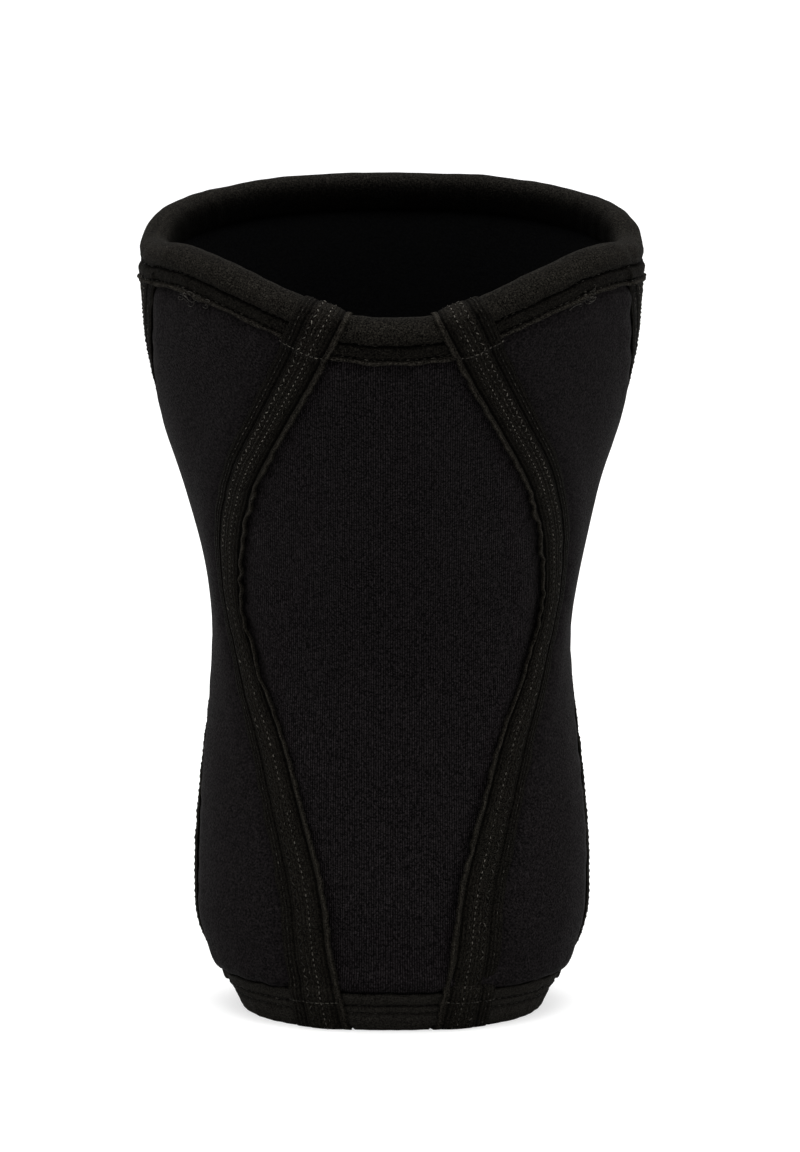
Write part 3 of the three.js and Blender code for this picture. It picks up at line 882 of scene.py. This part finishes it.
# How far the points of a binding stand off the panels, with the waves and the sewing
def bindingHeights(binding, whole, angle, shown, outerSide, waves, pull, overTape):
    leg = binding["outside"]
    height, reach = (np.broadcast_to(column, angle.shape) for column in whole.T[::-1])
    onRoll = bump(reach - binding["rollMiddle"], binding["rollSpread"])
    height = height + shown * (waves["roll"] * onRoll + waves["face"])
    for groove, depth in zip(binding["grooves"], binding["grooveDepth"]):
        away = reach - groove * leg - waves["groove"]
        pressed = sewnGroove(away, depth, binding["grooveWidth"], binding["stitchShare"], pull)
        pressed += binding["stitchPull"] * pull * bump(away, binding["pullWidth"])
        height = height - outerSide * pressed
    over = overTape * smoothStep(*binding["overFrom"], reach / leg)
    height = height + outerSide * binding["overTape"] * over
    fromHollow = np.abs(np.arctan2(np.sin(angle), np.cos(angle)))
    for amount, low, high in binding["flatter"]:
        beyondTapes = smoothStep(*binding["flatterFrom"], fromHollow)
        height = height - outerSide * amount * smoothStep(low, high, reach / leg) * beyondTapes
    return height


# The hem lies flat on the floor, and over the tapes that are folded under it
def pressToFloor(binding, points, reach, height, underTape):
    floor = binding["underTape"] * underTape
    low, high = (part * binding["outside"] for part in binding["pressed"])
    pressed = (1 - smoothStep(low, high, np.abs(reach))) * (height > binding["pressedAbove"])
    points[..., 2] = points[..., 2] * (1 - pressed) + floor * pressed
    points[..., 2] = np.maximum(points[..., 2], floor)


def bindingPiece(name, binding, atTop, seed):
    profile, under, outerFrom = bindingProfile(binding)
    whole = np.vstack([profile, under[::-1]])
    angle, share, cover = ringPlaces(whole[:, 0], atTop)
    crest = facePoint(angle[:, 0], share[:, 0])
    around = runLength(np.vstack([crest, crest[:1]]))
    at = (around[:-1] / around[-1])[:, None]
    waves = {
        kind: high * ringRipple(seed + number, fewest, most)(at)
        for number, (kind, (high, fewest, most)) in enumerate(binding["waves"].items())
    }
    number, reach = np.arange(len(whole)), whole[:, 0]
    shown = number < len(profile)
    outerSide = shown & (number >= outerFrom)
    pull = stitchPull(round(around[-1] / binding["stitchPitch"]) * at)
    underTape, overTape = cover[..., 0], cover[..., 1]
    height = bindingHeights(binding, whole, angle, shown, outerSide, waves, pull, overTape)
    # The lip and the crest wave up and down the panels
    length = faceLength(angle[:, :1])
    nearLip = outerSide * smoothStep(binding["lipFrom"], 1.0, reach / binding["outside"])
    share = share + (-1 if atTop else 1) * waves["lip"] * nearLip / length
    if atTop:
        share = share + waves["crest"] * shown * bump(reach, binding["crestSpread"]) / length
    points = offFace(angle, share, height)
    if not atTop:
        pressToFloor(binding, points, reach, height, underTape)
    face, back = points[:, : len(profile)], points[:, len(profile) :][:, ::-1]
    # Across the cloth, reach is counted below nothing on the inside
    signed = np.where(number < np.argmin(profile[:, 0]), -reach, reach)
    cloth = np.stack(np.broadcast_arrays(signed[None, :], around[:-1][:, None]), -1)
    piece = loft(name, face, back, cloth, [bindingCloth if atTop else hemCloth], closed=True)
    return piece, face, profile


rimPiece, rimFace, rimProfile = bindingPiece("top_binding_cloth", topBinding, True, 51)
hemPiece, hemFace, hemProfile = bindingPiece("bottom_binding_cloth", bottomBinding, False, 61)
for piece, node in ((rimPiece, "top_binding"), (hemPiece, "bottom_binding")):
    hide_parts(node)
print("bindings ready")

# A tape lies over each seam. The back tapes are folded over both bindings, and the ends of the front ones are
# caught under their lips. Across runs from its outer edge (0) to its inner edge (1), and rise is a share of
# its thickness.
tape = {
    "thickness": 1.3,
    "profile": {"across": [0, 0.03, 0.12, 0.22, 0.34, 0.5, 0.68, 0.75, 0.82, 0.88, 0.92, 0.96, 1.0],
                "rise": [0.25, 0.5, 0.6, 0.7, 0.98, 1.1, 1.0, 0.8, 0.6, 0.5, 1.1, 1.35, 1.05]},
    "spacing": 0.8,
    "foldSpacing": 0.5,
    "ridge": 2.3,  # height of its underside over the bindings
    # its way over a binding: shares of the binding's outside and of the ridge, and whether it is
    # pressed on the floor, then reach and height over the crest, then shares of the inside
    "overLip": [(0.97, 1, 0), (0.75, 1, 0), (0.5, 1, 0), (0.28, 1.15, 0), (0.08, 0.5, 1)],
    "overCrest": [(-0.3, -2.24, 1), (-0.3, -4.76, 1)],
    "inside": [(0.12, 0.5), (0.38, -0.15)],
    "tuck": 9,
    "caught": [(1.02, 0.2), (0.93, 0.15)],  # the ends that are caught under a binding's lip
    "offPanels": 0.3,
    "besideLip": 0.75,
    "beyondLip": 3,
    "run": 250,  # its length between the bindings and its place at the rim, as rows are counted
    "rimAt": 275,
    "grooves": [0.27, 0.86],
    "grooveDepth": [0.35, 0.35],
    "grooveWidth": 0.024,
    "closeColumns": (0.06, 0.015),  # reach and step of the closer columns beside the grooves
    "columns": 15,
    "stitchPitch": 3.1,
    "stitchShare": 0.15,  # of a groove's depth
    "stitchRows": [0.42, 0.62],
    "stitchPull": 0.12,
    "pullWidth": 0.05,
    "waveLengths": {"lip": (12, 26), "fine": (5, 9), "edge": (10, 30), "face": (6, 14)},
    "lipWave": 0.525,
    "lipRamp": (0.85, 0.93),
    "waist": (0.35, 0.55, 0.16),  # where the lip waves most: the least of it, and a bump's place and width
    "edgeWave": 0.25,
    "edgeRamp": (0.15, 0),
    "faceWave": 0.07,
    "roughLip": 0.06,
    "roughRamp": (0.84, 0.95),
    "folding": (0.6, 1.8),  # heights off the panels
    "foldCalm": 0.65,
    "calmRamp": (0.86, 0.93),
    "underLip": 0.6,  # how far its underside is lifted at the lip
    "underRamp": (0.9, 0.97),
    "foldPress": 0.6,
    "fill": 0.85,  # how far it is let into the dip in the panels, from ramp to ramp
    "fillRamps": [(0.01, 0.08), (0.9, 0.82)],
    "crossings": (6.7, 4.2),  # rows of stitches across it, from the lips of the bindings
}


# The way of a tape's underside: low, share and high say where it is on a line as low / its length
# at the floor + share - high / its length at the crest. Then come its height off the face, whether
# it is pressed on the floor, and its place on the way up.
def tapeRoute(folded):
    ridge = tape["ridge"]
    inside = -sleeve["wall"] - ridge

    def overBinding(binding):
        leg, inner = binding["outside"], binding["inside"]
        if not folded:
            return [(leg * reach, height, 0) for reach, height in tape["caught"]]
        lip = [(leg * reach, ridge * rise, pressed) for reach, rise, pressed in tape["overLip"]]
        inwards = [(inner * reach, inside + ridge * rise, 0) for reach, rise in tape["inside"]]
        return [*lip, *tape["overCrest"], *inwards, (tape["tuck"], inside, 0)]

    hem, thigh, beyond = bottomBinding["outside"], topBinding["outside"], tape["beyondLip"]
    lipHeight = tape["besideLip"] if folded else tape["offPanels"]
    overHem = overBinding(bottomBinding)[::-1]
    stops = [(reach, 0, 0, height, pressed, reach) for reach, height, pressed in overHem]
    stops.append((hem + beyond, 0, 0, lipHeight, 0, hem + beyond))
    for part in np.linspace(0, 1, 13)[1:-1]:
        low = (hem + beyond) * (1 - part) + beyond * part
        stops.append((low, part, thigh * part, tape["offPanels"], 0, hem + part * tape["run"]))
    stops.append((0, 1, thigh + beyond, lipHeight, 0, tape["rimAt"] - beyond))
    for reach, height, pressed in overBinding(topBinding):
        stops.append((0, 1, reach, height, 0, sleeve["sideHeight"] - reach))
    return np.array(stops, float)


# A smooth curve through rising places that never swings past its stops
def calmCurve(at, to):
    secants = np.diff(to) / np.diff(at)
    slopes = np.zeros_like(to)
    same = secants[1:] * secants[:-1] > 0
    with np.errstate(divide="ignore", invalid="ignore"):
        mean = 2 * secants[1:] * secants[:-1] / (secants[1:] + secants[:-1])
    slopes[1:-1] = np.where(same, mean, 0)
    slopes[0], slopes[-1] = secants[0], secants[-1]
    return slopedCurve(at, to, slopes)


# Every station along a tape as columns of places, and where the lips of the bindings are
def tapeStations(folded):
    stops = tapeRoute(folded)
    at = np.concatenate([[0], np.cumsum(np.hypot(np.diff(stops[:, 5]), np.diff(stops[:, 3])))])
    lowEnd, highStart = at[stops[:, 1] == 0][-1], at[stops[:, 1] == 1][0]
    onFold, onPanels = tape["foldSpacing"], tape["spacing"]
    runs = (0, lowEnd, onFold), (lowEnd, highStart, onPanels), (highStart, at[-1], onFold)
    places = np.concatenate([np.arange(*run) for run in runs])
    columns = [calmCurve(at, column)(places)[:, None] for column in stops.T]
    return places, columns, (lowEnd, highStart)


# How thick a tape is at each place across, in shares, with its sewn grooves and small waves
def tapeLift(across, places, wave):
    lift = curveThrough(tape["profile"], "rise")(across)[None, :]
    pull = stitchPull(places / tape["stitchPitch"])[:, None]
    for groove, depth in zip(tape["grooves"], tape["grooveDepth"]):
        lift = lift - sewnGroove(across - groove, depth, tape["grooveWidth"], tape["stitchShare"], pull)
    for row in tape["stitchRows"]:
        lift = lift - tape["stitchPull"] * pull * bump(across - row, tape["pullWidth"])
    rough = tape["roughLip"] * wave["fine"] * smoothStep(*tape["roughRamp"], across)
    return lift + tape["faceWave"] * wave["face"] + rough


# The places across a tape, shifted by the waves of its lip and of its outer edge
def wavyAcross(across, share, wave):
    least, waistAt, waistSpread = tape["waist"]
    waist = least + (1 - least) * bump(share - waistAt, waistSpread)
    atLip = (wave["lip"] + wave["fine"]) * waist * smoothStep(*tape["lipRamp"], across)
    atEdge = wave["edge"] * smoothStep(*tape["edgeRamp"], across)
    return across + (tape["lipWave"] * atLip + tape["edgeWave"] * atEdge) / sleeve["tapeWidth"]


# How far its underside stands off the panels: lifted at the lip, and let into the dip elsewhere
def tapeUnderside(across, folding):
    lifted = tape["underLip"] * smoothStep(*tape["underRamp"], across) * (1 - tape["foldPress"] * folding)
    fromEdge, toLip = (smoothStep(*ramp, across) for ramp in tape["fillRamps"])
    return lifted - tape["fill"] * fromEdge * toLip * (1 - folding)


def tapePiece(name, seam, outerSide, handed, folded, seed):
    places, (low, share, high, height, pressed, up), (lowEnd, highStart) = tapeStations(folded)
    way = unit(np.hstack([np.gradient(values, places, axis=0) for values in (up, height)]))
    offUp, offHeight = -way[:, 1:], way[:, :1]
    near = closeTo(tape["grooves"], *tape["closeColumns"])
    even = np.linspace(0, 1, tape["columns"])
    across = np.unique(np.round(np.concatenate([tape["profile"]["across"], even, near]), 3))
    wave = {
        kind: ripple(seed + number, *lengths)(places)[:, None]
        for number, (kind, lengths) in enumerate(tape["waveLengths"].items())
    }
    shifted = wavyAcross(across, share, wave)
    line = partWay(tapeEdge(seam, outerSide), tapeEdge(seam, -outerSide), shifted)
    lengthLow, lengthHigh = faceLength(line(0.0)), faceLength(line(1.0))

    def grid(lift, floor):
        where = low / lengthLow + share - high / lengthHigh + offUp * lift / lengthLow
        points = offFace(line(where) * handed, where, height + offHeight * lift)
        points[..., 2] = points[..., 2] * (1 - pressed) + floor * pressed
        points[..., 2] = np.maximum(points[..., 2], floor)
        return points

    folding = smoothStep(*tape["folding"], np.abs(height) + 2 * pressed)
    calm = tape["foldCalm"] * folding * smoothStep(*tape["calmRamp"], across)
    face = grid(tapeLift(across, places, wave) * tape["thickness"] * (1 - calm), 0.0)
    back = grid(tapeUnderside(across, folding), tape["thickness"])
    cloth = np.stack(np.broadcast_arrays(across[None, :] * sleeve["tapeWidth"], places[:, None]), -1)
    piece = loft(name, face, back, cloth, [tapeCloth])
    fromLow, fromHigh = tape["crossings"]
    crossings = np.searchsorted(places, [lowEnd - fromLow, highStart + fromHigh]) if folded else []
    return piece, face, across, crossings


tapeFaces = {}
for kind, seam, outerSide in (("back", backSeam, 1), ("front", frontSeam, -1)):
    for hand, handed in (("right", 1), ("left", -1)):
        node = f"{kind}_seam_tape_{hand}"
        seed = 71 + 10 * len(tapeFaces)
        piece, face, across, crossings = tapePiece(
            f"{node}_cloth", seam, outerSide, handed, kind == "back", seed
        )
        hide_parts(node)
        tapeFaces[node] = (face, across, crossings)
print("tapes ready")


# A row of sewing on a cloth's face: points and outward directions along one fractional column
def rowOn(face, column):
    low = int(min(column, face.shape[1] - 2))
    part = column - low
    points = face[:, low] * (1 - part) + face[:, low + 1] * part
    sideways = unit(face[:, low + 1] - face[:, low])
    normals = unit(np.cross(sideways, unit(np.gradient(points, axis=0))))
    middle = points.mean(0)
    outward = (points - middle) * [1, 1, 0]
    if (normals * outward).sum() < 0:
        normals = -normals
    return points, normals


def resample(points, normals, spacing, start=0.0, closed=False):
    if closed:
        points, normals = np.vstack([points, points[:1]]), np.vstack([normals, normals[:1]])
    at = runLength(points)
    if closed:
        spacing = at[-1] / round(at[-1] / spacing)
    places = np.arange(start, at[-1] - (1e-6 if closed else spacing), spacing)

    def pick(values):
        return np.stack([np.interp(places, at, values[:, i]) for i in range(3)], -1)

    return pick(points), unit(pick(normals))


# Tubes along short lines of points: lines × points × xyz, with a radius for each point
def addThreads(lines, normals, radii, sides=6):
    along = unit(np.gradient(lines, axis=1))
    normals = unit(normals - along * (normals * along).sum(-1, keepdims=True))
    sideways = np.cross(along, normals)
    turns = np.arange(sides) * 2 * np.pi / sides
    ring = normals[..., None, :] * np.cos(turns)[:, None] + sideways[..., None, :] * np.sin(turns)[:, None]
    return lines[..., None, :] + ring * np.asarray(radii)[..., None, None]


# Rows of stitches, in millimetres. Lift is off the cloth, sway turns them to both sides in turn,
# and fading says how dull they are, with the low fading added towards the floor.
stitching = {
    "plain": {"lift": 0.1, "start": 0.0, "sway": 0.0, "lowFading": 0.0},
    "crossing": {"pitch": 1.9, "length": 1.4, "radius": 0.16, "fading": 0.6},
    "edge": {"length": 1.7, "radius": 0.16, "lift": 0.05, "fading": 1.1},
    "bow": 0.16,  # out between the two holes that a stitch comes from
    "sunk": 0.12,
    "thickness": [0.55, 1, 1.08, 1, 0.55],  # from end to end, as shares of the radius
    "swing": 0.06,
    "lengths": (0.9, 1.08),
    "mottled": 0.28,
    "worn": (0.35, 140, 70),  # round the knee: how much more, at which height and how far
    "clean": (0.45, 235, 50),  # the same at the thigh, less
    "lowRamp": (60, 200),
    "offFloor": 0.05,  # nearer to it there are none, so that the sleeve doesn't stand on threads
}
# The rows along a tape, by their place across it
tapeRows = {
    "across": [0.14, 0.4, 0.5, 0.62, 0.7],
    "pitch": [3.1, 2.5, 3.1, 2.2, 3.1],
    "length": [1.1, 1.3, 1.0, 1.0, 1.0],
    "radius": [0.12, 0.18, 0.13, 0.2, 0.13],
    "start": [0.0, 0.7, 1.4, 2.1, 2.8],
    "sway": [0.0, 0.8, 0.3, 0.0, 0.0],
    "fading": [0.95, 0.5, 0.95, 0.4, 0.95],
    "lowFading": [0.0, 0.4, 0.0, -0.15, 0.0],
}


def fadingAt(height, row):
    (more, wornAt, wornReach), (less, cleanAt, cleanReach) = stitching["worn"], stitching["clean"]
    worn = row["fading"] + more * bump(height - wornAt, wornReach) - less * bump(height - cleanAt, cleanReach)
    return worn + row["lowFading"] * (1 - smoothStep(*stitching["lowRamp"], height))


# One stitch for each pitch along a row, as tubes and how faded each is
def stitchRow(points, normals, row, seed, closed=False):
    rng = np.random.default_rng(seed)
    row = stitching["plain"] | row
    spots, out = resample(points, normals, row["pitch"], row["start"], closed)
    ahead = unit(np.roll(spots, -1, axis=0) - spots)
    ahead[-1] = ahead[-2]
    sideways = np.cross(ahead, out)
    t = np.linspace(-0.5, 0.5, 5)
    swing = rng.normal(0, stitching["swing"], len(spots))[:, None] * row["length"]
    scale = rng.uniform(*stitching["lengths"], len(spots))[:, None]
    turn = row["sway"] * np.where(np.arange(len(spots)) % 2, 1, -1)[:, None]
    above = row["lift"] + (1 - (2 * t) ** 2) * stitching["bow"] - stitching["sunk"]
    lines = (
        spots[:, None]
        + ahead[:, None] * (t * row["length"] * scale)[..., None]
        + sideways[:, None] * (t * (swing + turn))[..., None]
        + out[:, None] * above[None, :, None]
    )
    radii = row["radius"] * np.array(stitching["thickness"])
    faded = np.clip(fadingAt(spots[:, 2], row) + rng.normal(0, stitching["mottled"], len(spots)), 0, 1)
    return addThreads(lines, np.broadcast_to(out[:, None], lines.shape), radii), faded


# All the threads of one piece. The place across the cloth is how faded a thread is.
def threadPiece(name, tubes):
    allPoints, allQuads, allCorners, offset = [], [], [], 0
    for tube, faded in tubes:
        above = tube[..., 2].min((1, 2)) > stitching["offFloor"]
        tube, faded = tube[above], faded[above]
        runs, rings, sides, _ = tube.shape
        run, ring, side = np.meshgrid(np.arange(runs), np.arange(rings - 1), np.arange(sides), indexing="ij")
        base = offset + run * rings * sides
        a = base + ring * sides + side
        b = base + ring * sides + (side + 1) % sides
        quads = np.stack([a, b, b + sides, a + sides], -1).reshape(-1, 4)
        i = np.arange(sides // 2 - 1)
        cap = np.stack([i, i + 1, sides - 2 - i, sides - 1 - i], -1)
        starts = (offset + np.arange(runs) * rings * sides)[:, None, None]
        ends = cap[:, ::-1] + starts, cap + starts + (rings - 1) * sides
        caps = np.concatenate([end.reshape(-1, 4) for end in ends])
        allPoints.append(tube.reshape(-1, 3))
        allQuads += [quads, caps]
        allCorners += [np.repeat(faded, (rings - 1) * sides), np.tile(np.repeat(faded, sides // 2 - 1), 2)]
        offset += runs * rings * sides
    points, quads = np.concatenate(allPoints), np.concatenate(allQuads)
    corners = np.concatenate(allCorners)[:, None, None] * np.ones((1, 4, 1)) * [1, 0]
    piece = makeMesh(name, points, quads, corners, [thread])


tapeThreads = []
for number, (face, across, crossings) in enumerate(tapeFaces.values()):
    for crossing in crossings:
        line = rowOn(face.transpose(1, 0, 2), crossing)
        tapeThreads.append(stitchRow(*line, stitching["crossing"], 160 + number))
    for i, place in enumerate(tapeRows["across"]):
        line = rowOn(face, np.interp(place, across, np.arange(len(across))))
        row = {name: values[i] for name, values in tapeRows.items()}
        tapeThreads.append(stitchRow(*line, row, 100 + 10 * number + i))
threadPiece("tape_stitching", tapeThreads)

pastCrest = 1.5  # height off the panels from which a binding's outside is counted
edgeThreads = []
for face, profile, binding in ((rimFace, rimProfile, topBinding), (hemFace, hemProfile, bottomBinding)):
    start = int(np.argmax(profile[:, 1] >= pastCrest))
    for i, groove in enumerate(binding["grooves"]):
        reaches = profile[start:, 0]
        column = start + np.interp(groove * binding["outside"], reaches, np.arange(len(reaches)))
        row = stitching["edge"] | {"pitch": binding["stitchPitch"]}
        edgeThreads.append(stitchRow(*rowOn(face, column), row, 200 + i, closed=True))
threadPiece("binding_stitching", edgeThreads)

# Curly ends of thread that have come out at the top binding's lip, one tuft on each side
tufts = {
    "angle": 52,
    "angleSpread": 2.25,
    "count": 16,
    "reach": 15.6,
    "reachSpread": 1.2,
    "off": (1.6, 2.5),  # least and greatest height over the panels
    "steps": 13,
    "stride": 0.55,
    "climb": 0.6,
    "bob": 0.12,
    "curl": 0.5,
    "wobble": 0.3,
    "radius": 0.13,
    "tip": 0.6,
    "faded": (0.5, 1),
}


def tuft(handed, seed):
    rng = np.random.default_rng(seed)
    count = tufts["count"]
    angle = np.radians(tufts["angle"] + rng.normal(0, tufts["angleSpread"], count)) * handed
    share = 1 - (tufts["reach"] + rng.normal(0, tufts["reachSpread"], count)) / faceLength(angle)
    at = offFace(angle, share, rng.uniform(*tufts["off"], count))
    out = faceNormal(angle, share)
    sideways = unit(np.cross([0, 0, 1], out))
    upwards = np.cross(out, sideways)
    heading, turning = rng.uniform(0, 2 * np.pi, count), rng.normal(0, tufts["curl"], count)
    lines = []
    for step in range(tufts["steps"]):
        lines.append(at)
        heading = heading + turning + rng.normal(0, tufts["wobble"], count)
        stride = sideways * np.cos(heading)[:, None] + upwards * np.sin(heading)[:, None] * tufts["climb"]
        at = at + tufts["stride"] * stride + tufts["bob"] * out * np.sin(step + heading)[:, None]
    lines = np.stack(lines, 1)
    radii = tufts["radius"] * np.linspace(1, tufts["tip"], tufts["steps"])
    tubes = addThreads(lines, np.broadcast_to(out[:, None], lines.shape), radii)
    return tubes, rng.uniform(*tufts["faded"], count)


threadPiece("loose_threads", [tuft(1, 301), tuft(-1, 302)])
print("stitches ready")

# The floor, the light and the camera
studio = {
    "floorSize": 12,  # metres
    "floorTone": 0.5,
    "floorUnevenness": 0.02,
    "floorGrain": 40.0,
    "floorRoughness": 0.8,
    "floorGloss": 0.2,
    "floorGlow": 0.55,  # added where the camera sees the floor, which is blown out to white
    "horizon": 0.3,
    "zenith": 1.5,
    "zenithFrom": 0.9,
}
floorMaterial = bpy.data.materials.new("white floor")
floorMaterial.use_nodes = True
floorTree = floorMaterial.node_tree
floorShader = floorTree.nodes["Principled BSDF"]
floorShader.inputs["Roughness"].default_value = studio["floorRoughness"]
floorShader.inputs["Specular IOR Level"].default_value = studio["floorGloss"]
paper = addNode(floorTree, "ShaderNodeTexNoise", Scale=studio["floorGrain"], Detail=2.0)
paperTones = [(*[studio["floorTone"] + more] * 3, 1) for more in (0, studio["floorUnevenness"])]
floorTree.links.new(mixColours(floorTree, paper.outputs[0], *paperTones), floorShader.inputs["Base Color"])
floorShader.inputs["Emission Color"].default_value = (1, 1, 1, 1)
cameraRay = floorTree.nodes.new("ShaderNodeLightPath").outputs["Is Camera Ray"]
glow = calculate(floorTree, "MULTIPLY", cameraRay, studio["floorGlow"])
floorTree.links.new(glow, floorShader.inputs["Emission Strength"])
bpy.ops.mesh.primitive_plane_add(size=studio["floorSize"], location=(0, 0, 0))
floor = bpy.context.object
floor.name = "floor"
floor.data.materials.append(floorMaterial)
floor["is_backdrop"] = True

# The sky is brightest overhead
world = bpy.data.worlds.new("studio")
world.use_nodes = True
sky = world.node_tree
upwards = splitPlace(sky, sky.nodes.new("ShaderNodeTexCoord").outputs["Generated"])[2]
strength = spread(sky, upwards, 0.0, studio["zenithFrom"], studio["horizon"], studio["zenith"], smooth=True)
sky.nodes["Background"].inputs["Color"].default_value = (1, 1, 1, 1)
sky.links.new(strength, sky.nodes["Background"].inputs["Strength"])
bpy.context.scene.world = world

# Softboxes that face the middle of the sleeve, in watts and metres
softboxes = {
    "overhead softbox": {"power": 26, "size": (1.6, 1.6), "place": (0, -0.2, 1.9)},
    "left softbox": {"power": 4, "size": (0.8, 1.4), "place": (-1.5, 0.1, 0.8)},
    "right softbox": {"power": 4, "size": (0.8, 1.4), "place": (1.5, 0.1, 0.8)},
}
middleHeight = Vector((0, 0, 0.15))
for name, softbox in softboxes.items():
    light = bpy.data.lights.new(name, "AREA")
    light.shape = "RECTANGLE"
    light.size, light.size_y = softbox["size"]
    light.energy = softbox["power"]
    lamp = bpy.data.objects.new(name, light)
    lamp.location = softbox["place"]
    lamp.rotation_euler = (middleHeight - Vector(softbox["place"])).to_track_quat("-Z", "Y").to_euler()
    bpy.context.scene.collection.objects.link(lamp)

# The camera looks slightly down at the hollow of the knee
view = {
    "elevation": math.radians(10),
    "distance": 4,
    "lens": 337.8,
    "sensor": 36,
    "clipEnd": 50,
    "aim": (0.003, standing[1] * mm, 0.1616),
}
lookDown = Vector((0, math.cos(view["elevation"]), -math.sin(view["elevation"])))
cameraData = bpy.data.cameras.new("camera")
cameraData.lens, cameraData.sensor_width, cameraData.clip_end = view["lens"], view["sensor"], view["clipEnd"]
camera = bpy.data.objects.new("camera", cameraData)
camera.location = Vector(view["aim"]) - lookDown * view["distance"]
camera.rotation_euler = lookDown.to_track_quat("-Z", "Y").to_euler()
bpy.context.scene.collection.objects.link(camera)
bpy.context.scene.camera = camera
bpy.context.scene.view_settings.view_transform = "Standard"
bpy.context.scene.view_settings.look = "None"
print("studio ready")

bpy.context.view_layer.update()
triangles = sum(len(p.vertices) - 2 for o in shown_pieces() if o.type == "MESH" for p in o.data.polygons)
print(f"{triangles} triangles")
